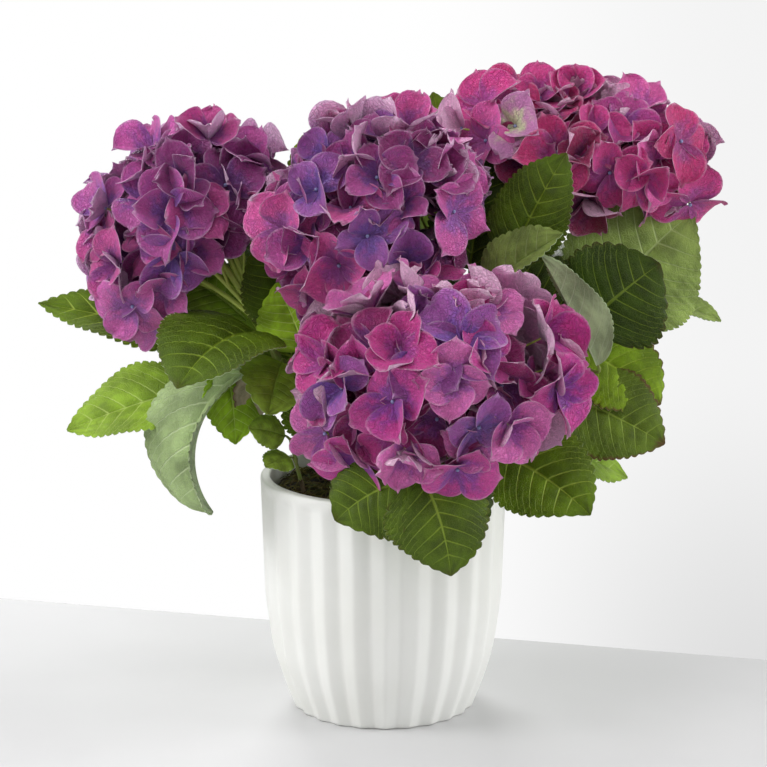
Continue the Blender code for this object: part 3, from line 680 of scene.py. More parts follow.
# %% [markdown]
# ## A leaf
# A mophead's leaf is ovate and coarsely toothed. Its face is quilted: seven or eight veins a side run from
# the midrib toward the margin, bending to the tip, and the blade bulges between them. The teeth point
# forward, so each is made of four stations: a notch, two on its shoulder and a point. The veins in the mesh
# and the pale veins in the material come from one formula, so they lie on each other.

# %% The spine and the teeth of a leaf
BLADE_COLUMNS = 15
BLADE_THICKNESS = 0.45
BLADE_TWIST = 7
BLADE_LEAST = 0.7
TOOTH_SHAPE = (-0.55, 0.1, 0.42, 0.5)
TOOTH_PITCH = 4.4
TOOTH_DEPTH = 1.9
TOOTH_LEAN = 0.6
TOOTH_COARSENESS = (0.9, 1.35)
TOOTH_LIVELINESS = (0.65, 1.3)


def rolled(side, up, roll):
    """The side and upper directions after a turn about the line that they stand on."""
    return side * np.cos(roll) + up * np.sin(roll), up * np.cos(roll) - side * np.sin(roll)


def blade_spine(leaf, foot, along, luck):
    """The midline of a drooping leaf, with the directions ahead, aside and upward at each station."""
    heading = math.radians(leaf.heading + leaf.turn)
    slope = np.radians(leaf.rise - leaf.droop * along)
    level = np.cos(slope)
    ahead = np.stack([level * math.cos(heading), level * math.sin(heading), np.sin(slope)], -1)
    steps = (ahead[1:] + ahead[:-1]) / 2 * leaf.length * MM / (len(along) - 1)
    line = np.array(foot) + np.concatenate([np.zeros((1, 3)), np.cumsum(steps, 0)])
    side = np.array((-math.sin(heading), math.cos(heading), 0.0)) * np.ones((len(along), 1))
    roll = math.radians(leaf.roll) + math.radians(luck.uniform(-BLADE_TWIST, BLADE_TWIST)) * along[:, None]
    return line, ahead, *rolled(side, np.cross(ahead, side), roll)


def saw_teeth(leaf, along, teeth, coarse, luck):
    """How far the margin stands out at each station. The teeth fade at the foot and at the tip."""
    stations = len(TOOTH_SHAPE)
    saw = np.array(TOOTH_SHAPE)[np.arange(len(along)) % stations]
    lively = np.array([luck.uniform(*TOOTH_LIVELINESS) for _ in range(teeth + 1)])
    fade = np.clip((along - 0.05) / 0.12, 0, 1) * np.clip((1.0 - along) / 0.06, 0, 1)
    depth = TOOTH_DEPTH * coarse * min(1.0, leaf.width / 50)
    return saw * lively[np.arange(len(along)) // stations] * fade * depth


# %% Grow one leaf blade
VEIN_PAIRS = 7.5
VEIN_SWEEP = 0.26
VEIN_HOOK = 0.4
QUILT = 1.7
SAGE_QUILT = 2.2
RUFFLE = 2.2
MIDRIB_DEPTH = 0.9
MIDRIB_KEEL = 1.3
MIDRIB_WIDTH = 0.045


def blade(basket, leaf, foot, luck, finish, back, curl, quilt):
    """Adds a toothed, quilted leaf blade to a basket: finish for its face and back for its underside."""
    coarse = luck.uniform(*TOOTH_COARSENESS)
    teeth = max(9, round(leaf.length / (TOOTH_PITCH * coarse)))
    along = np.linspace(0, 1, teeth * len(TOOTH_SHAPE) + 1)
    spread = np.linspace(-1, 1, BLADE_COLUMNS)
    line, ahead, side, up = blade_spine(leaf, foot, along, luck)
    half = np.array([leaf_half_width(share, leaf.aft) for share in along]) * leaf.width / 2
    half = np.maximum(half * (1 - 0.3 * np.exp((along - 1) / 0.07)), BLADE_LEAST)[:, None]
    tooth = saw_teeth(leaf, along, teeth, coarse, luck)[:, None]
    # u runs from foot to tip, v from side to side, and size is the distance from the midrib
    u, v = along[:, None], (np.sign(spread) * np.abs(spread) ** 1.15)[None, :]
    size = np.abs(v)
    margin = size**7
    out = v * half + np.sign(v) * margin * tooth
    forward_step = margin * np.abs(tooth) * TOOTH_LEAN
    # the blade bulges between the veins, waves along its margin and dips at the midrib
    fullness = 1 - np.clip((u - 0.35) / 0.7, 0, 1) ** 2
    phase = (u - VEIN_SWEEP * fullness * (size + VEIN_HOOK * size**4)) * VEIN_PAIRS
    calm = np.clip(u / 0.08, 0, 1) * np.clip((0.92 - u) / 0.3, 0, 1)
    bulge = np.abs(np.sin(np.pi * phase)) ** 0.7 * (1 - size**6) * (1 - np.exp(-((v / 0.1) ** 2))) * calm
    starts = [luck.uniform(0, 2 * math.pi) for _ in range(2)]
    wave = np.where(v < 0, np.sin(u * 9 + starts[0]), np.sin(u * 10 + starts[1])) * size**3 * RUFFLE
    wave = wave * np.clip(u / 0.15, 0, 1) * np.clip((1.1 - u) / 0.3, 0, 1)
    scale = min(1.0, leaf.width / 60)
    groove = np.exp(-((v / MIDRIB_WIDTH) ** 2)) * (1 - u) ** 0.5
    height = math.tan(math.radians(leaf.fold)) * size * half - curl * v**2 * half
    height = height + (wave + quilt * bulge - MIDRIB_DEPTH * groove) * scale
    grid = line[:, None] + (side[:, None] * out[..., None] + up[:, None] * height[..., None]) * MM
    grid = grid + ahead[:, None] * forward_step[..., None] * MM
    depth = (BLADE_THICKNESS + MIDRIB_KEEL * scale * groove)[..., None] * MM
    flat_map = np.stack(np.broadcast_arrays(u, (v + 1) / 2), -1)
    basket.add_sheet(grid, grid - up[:, None] * depth, flat_map, finish, back)


# %% [markdown]
# ## A floret
# What look like petals are sepals: four broad ones to a floret, set crosswise in two pairs, round a small
# bead that is the real flower. No two lie alike. Each is a closed sheet that leaves the bead at some slope,
# bends back toward its tip, cups across, folds along its middle and ruffles at its rim.

# %% Grow one sepal
SEPAL_LENGTH = 28
SEPAL_WIDTH = 31
SEPAL_ROWS = 11
SEPAL_COLUMNS = 11
SEPAL_THICKNESS = 0.35
SEPAL_START = 1.2
SEPAL_LEAST = 0.8
SEPAL_TIP = 0.13
SEPAL_LEAN = 2.6
Sepal = namedtuple("Sepal", "length width lift bend cup fold twist ruffle point")


def sepal(basket, centre, axis, ahead, shape, luck, finish, back):
    """Adds one sepal that leaves the centre along a direction square to the floret's axis."""
    along = np.linspace(0, 1, SEPAL_ROWS) ** 0.92
    spread = np.sin(np.linspace(-1, 1, SEPAL_COLUMNS) * 1.3) / math.sin(1.3)
    u, v = along[:, None], spread[None, :]
    size = np.abs(v)
    # the midline bends back toward the tip, and the sepal twists about it
    slope = np.radians(shape.lift - shape.bend * along**1.3)
    side = np.cross(axis, ahead)
    run = ahead[None] * np.cos(slope)[:, None] + axis[None] * np.sin(slope)[:, None]
    step = (run[1:] + run[:-1]) / 2 * (np.diff(along) * shape.length)[:, None]
    line = np.concatenate([np.zeros((1, 3)), np.cumsum(step, 0)]) + run[0] * SEPAL_START
    across, up = rolled(side, np.cross(run, side), (math.radians(shape.twist) * along)[:, None])
    half = (0.03 + along) ** 0.68 * (1.03 - along) ** shape.point
    half = np.maximum(half / half.max() * shape.width / 2, SEPAL_LEAST)[:, None]
    # it cups and folds across, and ruffles: at its sides, at its crown and in dents over its face
    starts = [luck.uniform(0, 2 * math.pi) for _ in range(4)]
    wave = np.where(v < 0, np.sin(u * 8 + starts[0]), np.sin(u * 7 + starts[1])) * size**2.2 * u
    crown = np.sin(v * 5 + starts[2]) * np.clip((u - 0.55) / 0.45, 0, 1) ** 2
    dent = np.sin(u * 5 + starts[3]) * np.cos(v * 2.2) * 0.35 + np.cos(v * 7.5 + starts[3]) * u * 0.22
    height = shape.cup * v**2 * half + shape.fold * size * half
    height = height + shape.ruffle * (wave + 0.7 * crown + dent)
    tip = (1 - size) ** 1.8 * np.clip((u - 0.6) / 0.4, 0, 1) ** 1.5 * shape.length * SEPAL_TIP
    lean = math.sin(starts[0]) * SEPAL_LEAN * u**2
    grid = line[:, None] + across[:, None] * (v * half + lean)[..., None]
    grid = np.array(centre) + MM * (grid + up[:, None] * height[..., None] + run[:, None] * tip[..., None])
    flat_map = np.stack(np.broadcast_arrays(u, (v + 1) / 2), -1)
    basket.add_sheet(grid, grid - up[:, None] * SEPAL_THICKNESS * MM, flat_map, finish, back)


# %% Grow one floret
EYE_RADIUS = 1.35
EYE_RISE = 1.6
PAIR_STEPS = (-0.3, 0.5)
SEPAL_LIFTS = (0, 0, 0, 0, 26, -12)
SEPAL_FOLDS = (0.05, 0.12, 0.24, 0.38, 0.58, -0.2)


def floret(sepals, eyes, centre, axis, luck, size, finish, back, lift, bend, spin=None):
    """Adds four sepals in two crossed pairs, and the bead between them."""
    centre = np.array(centre)
    axis = unit(np.array(axis, float))
    first = unit(np.cross(axis, (0.3, 0.5, 0.8)))
    second = np.cross(axis, first)
    spin = luck.uniform(0, math.pi / 2) if spin is None else spin
    cup = luck.uniform(-0.12, 0.42)
    ruffle = luck.uniform(0.5, 2.2)
    for number in range(4):
        angle = spin + number * math.pi / 2 + luck.uniform(-0.2, 0.2)
        ahead = first * math.cos(angle) + second * math.sin(angle)
        scale = size * luck.uniform(0.82, 1.1)
        shape = Sepal(
            length=SEPAL_LENGTH * scale,
            width=SEPAL_WIDTH * scale * luck.uniform(0.84, 1.12),
            lift=lift + luck.choice(SEPAL_LIFTS) + luck.uniform(-16, 16),
            bend=bend + luck.uniform(-24, 26),
            cup=cup + luck.uniform(-0.16, 0.2),
            fold=luck.choice(SEPAL_FOLDS) + luck.uniform(-0.05, 0.08),
            twist=luck.uniform(-32, 32),
            ruffle=ruffle + luck.uniform(-0.3, 0.6),
            point=luck.uniform(0.48, 0.78),
        )
        raised = centre + axis * MM * PAIR_STEPS[number % 2]
        sepal(sepals, raised, axis, ahead, shape, luck, finish, back)
    eyes.add(*bead(centre + axis * EYE_RISE * MM, axis, EYE_RADIUS * MM), 0)

# %% [markdown]
# ## Shared effects
# Four effects are built once, as shader node groups with named sockets. One gives a soft mottle from noise.
# One finds the rim of a sheet, where petals and leaves are paler or browner. Two draw the veins of a leaf and
# of a sepal. A group only puts out masks and heights. The shaders stay in the materials. The helpers below
# find the node tree from the sockets that they are given, so that a formula reads like one.

# %% Helpers that add and join nodes
FLOAT, VECTOR = "NodeSocketFloat", "NodeSocketVector"


def add_node(tree, kind, **settings):
    """A new node in a tree, with its settings."""
    node = tree.nodes.new(kind)
    for key, value in settings.items():
        setattr(node, key, value)
    return node


def home(*sources):
    """The node tree of the first socket among these."""
    return next(source.id_data for source in sources if isinstance(source, bpy.types.NodeSocket))


def feed(socket, source):
    """Sets a socket to a number or colour, or joins it to another node's output."""
    if isinstance(source, bpy.types.NodeSocket):
        socket.id_data.links.new(source, socket)
    else:
        socket.default_value = source


def maths(operation, first, second=0.0):
    """The output of a Math node."""
    node = add_node(home(first, second), "ShaderNodeMath", operation=operation)
    feed(node.inputs[0], first)
    feed(node.inputs[1], second)
    return node.outputs[0]


def times(first, second):
    return maths("MULTIPLY", first, second)


def plus(first, second):
    return maths("ADD", first, second)


def minus(first, second):
    return maths("SUBTRACT", first, second)


def between(value, low, high, start=0.0, end=1.0):
    """A smooth step of a value from one range to another."""
    node = add_node(value.id_data, "ShaderNodeMapRange", interpolation_type="SMOOTHSTEP")
    for socket, source in zip(node.inputs, (value, low, high, start, end)):
        feed(socket, source)
    return node.outputs[0]


def blend_colours(share, first, second, way="MIX"):
    """A share of the second colour over the first."""
    node = add_node(home(share, first, second), "ShaderNodeMix", data_type="RGBA", blend_type=way)
    feed(node.inputs[0], share)
    for socket, source in ((node.inputs[6], first), (node.inputs[7], second)):
        feed(socket, (*source, 1.0) if isinstance(source, tuple) else source)
    return node.outputs[2]


def scaled(place, scale):
    """A place stretched along each axis."""
    node = add_node(place.id_data, "ShaderNodeMapping")
    feed(node.inputs["Vector"], place)
    node.inputs["Scale"].default_value = scale
    return node.outputs[0]


# %% Helpers for groups and sheets
def new_group(name, inputs, outputs):
    """A shader node group with named sockets, and its input and output nodes."""
    group = bpy.data.node_groups.new(name, "ShaderNodeTree")
    for title, kind, value in inputs:
        socket = group.interface.new_socket(title, in_out="INPUT", socket_type=kind)
        if value is not None:
            socket.default_value = value
    for title in outputs:
        group.interface.new_socket(title, in_out="OUTPUT", socket_type=FLOAT)
    return group, add_node(group, "NodeGroupInput").outputs, add_node(group, "NodeGroupOutput").inputs


def use_group(group, **values):
    """A group placed in the tree of the sockets that feed it. Gives back its outputs."""
    node = add_node(home(*values.values()), "ShaderNodeGroup", node_tree=group)
    for title, value in values.items():
        feed(node.inputs[title], value)
    return node.outputs


def sheet_axes(place):
    """How far along a sheet a point lies, and how far from its midline, both from 0 to 1."""
    parts = add_node(place.id_data, "ShaderNodeSeparateXYZ")
    feed(parts.inputs[0], place)
    return parts.outputs[0], maths("ABSOLUTE", minus(times(parts.outputs[1], 2.0), 1.0))


def fine_net(place, scale, width, strength):
    """The thin borders of cells, as the finest veins have."""
    cells = add_node(place.id_data, "ShaderNodeTexVoronoi", feature="DISTANCE_TO_EDGE")
    feed(cells.inputs["Vector"], scaled(place, scale))
    cells.inputs["Scale"].default_value = 1.0
    return between(cells.outputs["Distance"], 0.0, width, strength, 0.0)


# %% The mottle
mottle, given, result = new_group(
    "mottle",
    (("Place", VECTOR, None), ("Scale", FLOAT, 5.0), ("Low", FLOAT, 0.9), ("High", FLOAT, 1.1)),
    ["Value"],
)
noise = add_node(mottle, "ShaderNodeTexNoise")
feed(noise.inputs["Vector"], given["Place"])
feed(noise.inputs["Scale"], given["Scale"])
noise.inputs["Detail"].default_value = 4.0
feed(result["Value"], between(noise.outputs[0], 0.32, 0.68, given["Low"], given["High"]))

# %% The rim of a sheet
rim, given, result = new_group("rim", (("Place", VECTOR, None), ("Width", FLOAT, 0.08)), ["Mask"])
along, aside = sheet_axes(given["Place"])
wobble = use_group(mottle, Place=given["Place"], Scale=9.0, Low=-0.025, High=0.025)
outer = plus(maths("MAXIMUM", aside, along), wobble["Value"])
feed(result["Mask"], between(outer, minus(1.0, given["Width"]), 1.0))

# %% The veins of a leaf
veins, given, result = new_group(
    "leaf_veins", (("Place", VECTOR, None), ("Width", FLOAT, 0.08)), ["Mask", "Fine", "Height"]
)
along, aside = sheet_axes(given["Place"])
# the same phase as in the mesh: whole numbers lie on a side vein
fullness = minus(1.0, maths("POWER", between(along, 0.35, 1.05), 2.0))
hook = times(maths("POWER", aside, 4.0), VEIN_HOOK)
sweep = times(times(plus(aside, hook), VEIN_SWEEP), fullness)
phase = times(minus(along, sweep), VEIN_PAIRS)
# side veins narrow outward and fade at the foot and the tip
width = plus(times(given["Width"], minus(1.1, aside)), 0.015)
lateral = between(maths("PINGPONG", phase, 0.5), 0.0, width, 1.0, 0.0)
lateral = times(times(lateral, between(along, 0.0, 0.05)), between(along, 0.75, 0.95, 1.0, 0.0))
# thinner ones fork off near the margin
forked = between(maths("PINGPONG", times(phase, 2.0), 0.5), 0.0, 0.1, 0.6, 0.0)
forked = times(times(forked, between(aside, 0.45, 0.7)), between(along, 0.6, 0.85, 1.0, 0.0))
# the midrib tapers to the tip
rib_width = times(minus(1.25, along), MIDRIB_WIDTH)
midrib = between(aside, times(rib_width, 0.3), rib_width, 1.0, 0.0)
mask = maths("MAXIMUM", maths("MAXIMUM", lateral, forked), midrib)
net = fine_net(given["Place"], (52, 40, 1), 0.12, 1.0)
feed(result["Mask"], mask)
feed(result["Fine"], net)
feed(result["Height"], minus(1.0, maths("MAXIMUM", mask, times(net, 0.55))))

# %% The veins of a sepal
sepal_veins, given, result = new_group("sepal_veins", (("Place", VECTOR, None),), ["Lines", "Height"])
along, aside = sheet_axes(given["Place"])
# lines that fan out from the foot: the distance from the midline over the distance from the foot
room = maths("POWER", minus(1.03, along), 0.5)
aside = times(aside, times(room, maths("POWER", along, 0.6)))
sway = use_group(mottle, Place=given["Place"], Scale=6.0, Low=-0.35, High=0.35)
fan = plus(times(maths("DIVIDE", aside, plus(along, 0.16)), 3.6), sway["Value"])
main = between(maths("PINGPONG", fan, 0.5), 0.0, 0.11, 1.0, 0.0)
main = times(main, between(along, 0.55, 0.95, 1.0, 0.25))
# twice as many beyond the middle, and a net between them
split = between(maths("PINGPONG", times(fan, 2.0), 0.5), 0.0, 0.16, 0.8, 0.0)
split = times(split, between(along, 0.3, 0.55))
net = fine_net(given["Place"], (13, 15, 1), 0.13, 0.6)
lines = maths("MAXIMUM", maths("MAXIMUM", main, split), net)
feed(result["Lines"], lines)
feed(result["Height"], minus(1.0, lines))
print("groups:", [group.name for group in bpy.data.node_groups])


# %% A plain start for every finish
def sheet_place(tree):
    """The place on a sheet or tube by its own flat map."""
    return add_node(tree, "ShaderNodeUVMap", uv_map="sheet").outputs[0]


def new_finish(name, **sockets):
    """A material with a Principled shader. Constant values are set on the shader's own sockets."""
    material = bpy.data.materials.new(name)
    material.use_nodes = True
    shader = material.node_tree.nodes["Principled BSDF"]
    for title, value in sockets.items():
        shader.inputs[title.replace("_", " ")].default_value = value
    return material, shader


def add_bump(shader, height, strength, distance):
    """Joins a height to the shader's normal."""
    bump = add_node(shader.id_data, "ShaderNodeBump")
    bump.inputs["Strength"].default_value = strength
    bump.inputs["Distance"].default_value = distance
    feed(bump.inputs["Height"], height)
    feed(shader.inputs["Normal"], bump.outputs[0])


# %% [markdown]
# ## Leaf finishes
# A leaf's face is a slightly glossy green with pale veins and a fine net between them. Its underside is
# duller and greyer. Age shows at the rim, where some leaves turn brown. Twelve looks, from old darker leaves
# to young paler ones, with a scorched, a golden and a withered one, are dealt out so that neighbours seldom
# look the same. Some looks are partly painted light and shade: the deep and dark greens paint shade, the
# bright and lit ones paint light shining through a leaf from behind, and the pale sage and silver paint the
# sheen of a face turned to the light.

# %% Mix the greens
def leaf_finish(name, green, vein, rim_colour, rim_share, roughness, net_share, vein_share, rim_width=0.07):
    """A leaf's finish: three colours, and how strong the rim, the net and the veins show."""
    material, shader = new_finish(
        name,
        Roughness=roughness,
        Specular_IOR_Level=0.22,
        Subsurface_Weight=0.06,
        Subsurface_Radius=(0.4, 0.6, 0.1),
        Subsurface_Scale=0.002,
    )
    place = sheet_place(material.node_tree)
    lines = use_group(veins, Place=place, Width=0.085)
    tone = use_group(mottle, Place=place, Scale=4.0, Low=0.76, High=1.48)
    shade = add_node(material.node_tree, "ShaderNodeCombineColor")
    for socket in shade.inputs:
        feed(socket, tone["Value"])
    base = blend_colours(1.0, green, shade.outputs[0], "MULTIPLY")
    base = blend_colours(times(lines["Fine"], net_share), base, vein)
    base = blend_colours(times(lines["Mask"], vein_share), base, vein)
    edge = use_group(rim, Place=place, Width=rim_width)
    base = blend_colours(times(edge["Mask"], rim_share), base, rim_colour)
    feed(shader.inputs["Base Color"], base)
    gloss = use_group(mottle, Place=place, Scale=16.0, Low=roughness - 0.07, High=roughness + 0.1)
    feed(shader.inputs["Roughness"], gloss["Value"])
    add_bump(shader, lines["Height"], 0.6, 0.0009)
    return material


# For each look: the face, the veins and the rim; then how strong the rim is, the roughness, how strong the
# net and the veins are, and how wide the rim is where it isn't the usual width.
BROWN = (0.12, 0.055, 0.020)
TAWNY = (0.2, 0.16, 0.05)
# painted light and shade: deep and dark paint shade, bright and lit paint light through the leaf, sage and
# silver paint sheen
LEAF_GREENS = {
    "deep": ((0.030, 0.056, 0.003), (0.26, 0.36, 0.04), BROWN, 0.3, 0.38, 0.12, 0.55),
    "dark": ((0.062, 0.106, 0.004), (0.32, 0.44, 0.05), BROWN, 0.25, 0.40, 0.12, 0.58),
    "mid": ((0.104, 0.178, 0.006), (0.48, 0.62, 0.09), BROWN, 0.1, 0.42, 0.12, 0.75),
    "bright": ((0.24, 0.38, 0.030), (0.56, 0.70, 0.20), BROWN, 0.03, 0.46, 0.10, 0.65),
    "sage": ((0.25, 0.34, 0.08), (0.52, 0.62, 0.28), BROWN, 0.02, 0.46, 0.10, 0.5),
    "young": ((0.28, 0.42, 0.045), (0.40, 0.52, 0.12), TAWNY, 0.2, 0.5, 0.07, 0.5),
    "scorched": ((0.085, 0.135, 0.008), (0.34, 0.46, 0.07), BROWN, 0.95, 0.46, 0.10, 0.55, 0.1),
    "golden": ((0.165, 0.27, 0.006), (0.44, 0.58, 0.08), BROWN, 0.9, 0.46, 0.08, 0.55, 0.08),
    "withered": ((0.42, 0.36, 0.24), (0.58, 0.52, 0.38), BROWN, 0.8, 0.8, 0.2, 0.5, 0.2),
    "lit": ((0.30, 0.50, 0.02), (0.62, 0.78, 0.20), BROWN, 0.03, 0.44, 0.10, 0.75),
    "silver": ((0.28, 0.37, 0.16), (0.56, 0.64, 0.40), BROWN, 0.02, 0.42, 0.10, 0.5),
    "back": ((0.36, 0.46, 0.25), (0.56, 0.66, 0.42), BROWN, 0.02, 0.60, 0.12, 0.6),
}
leaf_looks = [leaf_finish("leaf_" + tone, *greens) for tone, greens in LEAF_GREENS.items()]
LEAF_NUMBERS = {tone: number for number, tone in enumerate(LEAF_GREENS)}
print(len(leaf_looks), "leaf finishes")

# %% [markdown]
# ## Sepal finishes
# A sepal is violet round the bead and turns to magenta outward, with fine darker veins that fan out from its
# foot and a pale rim, which is partly its own colour and partly a painted highlight where an edge catches
# the light. The four blooms have their own mixtures of tints: bright pink in front, violet to the left, dark
# purple in the middle and crimson to the right.

# %% Mix the purples
def sepal_finish(name, inner, outer, rim_colour):
    """A sepal's finish, from the colour at its foot to the one farther out and the one at its rim."""
    material, shader = new_finish(
        name,
        Roughness=0.46,
        Specular_IOR_Level=0.32,
        Subsurface_Weight=0.15,
        Subsurface_Radius=(0.8, 0.3, 0.6),
        Subsurface_Scale=0.002,
        Sheen_Weight=0.12,
        Sheen_Roughness=0.3,
    )
    place = sheet_place(material.node_tree)
    parts = add_node(material.node_tree, "ShaderNodeSeparateXYZ")
    feed(parts.inputs[0], place)
    cloud = use_group(mottle, Place=place, Scale=3.0, Low=-0.28, High=0.28)
    base = blend_colours(between(plus(parts.outputs[0], cloud["Value"]), 0.02, 0.75), inner, outer)
    fine = use_group(sepal_veins, Place=place)
    base = blend_colours(times(fine["Lines"], 0.5), base, tuple(0.45 * v for v in outer))
    grain = use_group(mottle, Place=place, Scale=11.0, Low=0.0, High=0.05)
    base = blend_colours(grain["Value"], base, rim_colour)
    # the pale rim: partly the sepal's own colour, partly a painted highlight where the edge catches the light
    edge = use_group(rim, Place=place, Width=0.13)
    faded = use_group(mottle, Place=place, Scale=2.2, Low=0.1, High=0.5)
    base = blend_colours(times(edge["Mask"], faded["Value"]), base, rim_colour)
    feed(shader.inputs["Base Color"], base)
    add_bump(shader, fine["Height"], 0.8, 0.001)
    return material


# For each tint: the colour at the foot, the colour farther out and the rim, whose pale colour is partly a
# painted highlight. The fifth of each bloom is the darkest, worn as painted shade by florets deep in the head
# and as a darker tone by some others. The sixth is for undersides and edges, pale partly by their own
# colour and partly as painted light that they catch, and the seventh of the right one for a floret that is
# still green.
PINK_RIM_HIGHLIGHT = (0.90, 0.56, 0.75)
LILAC_RIM_HIGHLIGHT = (0.80, 0.55, 0.78)
BLOOM_TINTS = {
    "front": (
        ((0.271, 0.062, 0.384), (0.655, 0.062, 0.35), PINK_RIM_HIGHLIGHT),
        ((0.362, 0.04, 0.282), (0.565, 0.034, 0.26), PINK_RIM_HIGHLIGHT),
        ((0.203, 0.085, 0.407), (0.384, 0.09, 0.384), LILAC_RIM_HIGHLIGHT),
        ((0.407, 0.113, 0.452), (0.768, 0.169, 0.497), PINK_RIM_HIGHLIGHT),
        ((0.169, 0.028, 0.203), (0.362, 0.023, 0.169), PINK_RIM_HIGHLIGHT),
        ((0.701, 0.407, 0.61), (0.92, 0.542, 0.768), PINK_RIM_HIGHLIGHT),
    ),
    "middle": (
        ((0.181, 0.056, 0.294), (0.429, 0.062, 0.282), LILAC_RIM_HIGHLIGHT),
        ((0.282, 0.079, 0.373), (0.644, 0.102, 0.395), LILAC_RIM_HIGHLIGHT),
        ((0.181, 0.085, 0.384), (0.35, 0.09, 0.373), LILAC_RIM_HIGHLIGHT),
        ((0.328, 0.079, 0.339), (0.734, 0.102, 0.373), PINK_RIM_HIGHLIGHT),
        ((0.124, 0.027, 0.169), (0.282, 0.027, 0.169), LILAC_RIM_HIGHLIGHT),
        ((0.588, 0.362, 0.565), (0.836, 0.475, 0.701), LILAC_RIM_HIGHLIGHT),
    ),
    "left": (
        ((0.24, 0.087, 0.392), (0.512, 0.093, 0.36), LILAC_RIM_HIGHLIGHT),
        ((0.305, 0.093, 0.382), (0.654, 0.125, 0.436), LILAC_RIM_HIGHLIGHT),
        ((0.196, 0.093, 0.403), (0.371, 0.093, 0.382), LILAC_RIM_HIGHLIGHT),
        ((0.283, 0.065, 0.305), (0.61, 0.082, 0.327), PINK_RIM_HIGHLIGHT),
        ((0.131, 0.031, 0.185), (0.283, 0.033, 0.196), LILAC_RIM_HIGHLIGHT),
        ((0.61, 0.392, 0.61), (0.85, 0.523, 0.763), LILAC_RIM_HIGHLIGHT),
    ),
    "right": (
        ((0.433, 0.068, 0.331), (0.73, 0.057, 0.296), PINK_RIM_HIGHLIGHT),
        ((0.342, 0.046, 0.228), (0.616, 0.034, 0.194), PINK_RIM_HIGHLIGHT),
        ((0.308, 0.063, 0.331), (0.49, 0.048, 0.274), PINK_RIM_HIGHLIGHT),
        ((0.513, 0.114, 0.433), (0.844, 0.137, 0.456), PINK_RIM_HIGHLIGHT),
        ((0.182, 0.023, 0.137), (0.365, 0.021, 0.114), PINK_RIM_HIGHLIGHT),
        ((0.73, 0.41, 0.593), (0.92, 0.524, 0.752), PINK_RIM_HIGHLIGHT),
        ((0.707, 0.73, 0.456), (0.638, 0.251, 0.524), PINK_RIM_HIGHLIGHT),
    ),
}
bloom_looks = {
    name: [sepal_finish(f"sepal_{name}_{number}", *tint) for number, tint in enumerate(tints)]
    for name, tints in BLOOM_TINTS.items()
}
print("sepal finishes:", sum(len(looks) for looks in bloom_looks.values()))


# %% [markdown]
# ## Plain finishes
# Green stems and the beads in the florets are streaked along their length. Bark, soil, moss, the matt glaze
# and the paper on the table have no map of their own, so their colours and bumps come from noise in space.

# %% Stalks, eyes, bark, moss, glaze and paper
def stem_finish(name, green, blush, share, roughness=0.5):
    """A green stem with a blush along it, by the tube's own map."""
    material, shader = new_finish(name, Roughness=roughness, Specular_IOR_Level=0.4)
    streak = scaled(sheet_place(material.node_tree), (6, 3, 1))
    tone = use_group(mottle, Place=streak, Scale=1.4, Low=0.0, High=share)
    feed(shader.inputs["Base Color"], blend_colours(tone["Value"], green, blush))
    fine = use_group(mottle, Place=streak, Scale=9.0, Low=0.0, High=1.0)
    add_bump(shader, fine["Value"], 0.25, 0.0004)
    return material


def rough_finish(name, dark, light, scale, roughness, bump, distance, stretched=(1, 1, 1)):
    """Two colours mixed by noise in the object's own space, for bark, moss, soil and glaze."""
    material, shader = new_finish(name, Roughness=roughness, Specular_IOR_Level=0.3)
    place = scaled(add_node(material.node_tree, "ShaderNodeTexCoord").outputs["Object"], stretched)
    tone = use_group(mottle, Place=place, Scale=scale, Low=0.0, High=1.0)
    feed(shader.inputs["Base Color"], blend_colours(tone["Value"], dark, light))
    fine = use_group(mottle, Place=place, Scale=scale * 3.1, Low=0.0, High=1.0)
    add_bump(shader, fine["Value"], bump, distance)
    return material


green_stem = stem_finish("green_stem", (0.20, 0.29, 0.050), (0.20, 0.11, 0.06), 0.5)
flower_stem = stem_finish("flower_stem", (0.56, 0.68, 0.13), (0.40, 0.42, 0.14), 0.3)
eye_look = stem_finish("floret_eye", (0.34, 0.40, 0.62), (0.20, 0.16, 0.42), 0.9, 0.35)

# For each finish: its dark and light colour, the scale of its noise, its roughness, and how strong and high
# its bumps are. Bark is stretched along the cane.
ALONG_CANE = (1, 1, 0.25)
bark = rough_finish("woody_bark", (0.055, 0.036, 0.02), (0.24, 0.19, 0.11), 160, 0.85, 0.6, 0.0008, ALONG_CANE)
soil = rough_finish("potting_soil", (0.012, 0.008, 0.005), (0.06, 0.038, 0.022), 260, 0.95, 0.9, 0.0015)
moss_bed = rough_finish("moss_bed", (0.010, 0.008, 0.003), (0.055, 0.045, 0.012), 220, 0.95, 0.9, 0.0015)
moss_olive = rough_finish("moss_olive", (0.07, 0.06, 0.012), (0.19, 0.16, 0.035), 150, 0.85, 0.3, 0.0003)
moss_brown = rough_finish("moss_brown", (0.045, 0.028, 0.010), (0.13, 0.09, 0.035), 150, 0.9, 0.3, 0.0003)
moss_green = rough_finish("moss_green", (0.035, 0.05, 0.010), (0.11, 0.13, 0.025), 150, 0.85, 0.3, 0.0003)
glaze = rough_finish("matt_white_glaze", (0.845, 0.85, 0.81), (0.885, 0.89, 0.86), 14, 0.42, 0.10, 0.0004)
table_paper = rough_finish("table_paper", (0.59, 0.59, 0.595), (0.64, 0.64, 0.645), 3, 0.7, 0.03, 0.0005)
print("plain finishes:", [finish.name for finish in (bark, soil, moss_bed, glaze, table_paper)])

# %% [markdown]
# ## The pot
# The pot is slip-cast stoneware with a matt white glaze. Twenty-four reeds run down its side, each a narrow
# rounded crest with flanks that fall evenly to the groove, and they fade out just under a plain rim. A
# profile turned round the axis makes the body, and a groove depth that depends on the angle makes the reeds.
# Sixteen columns to a reed keep them crisp.

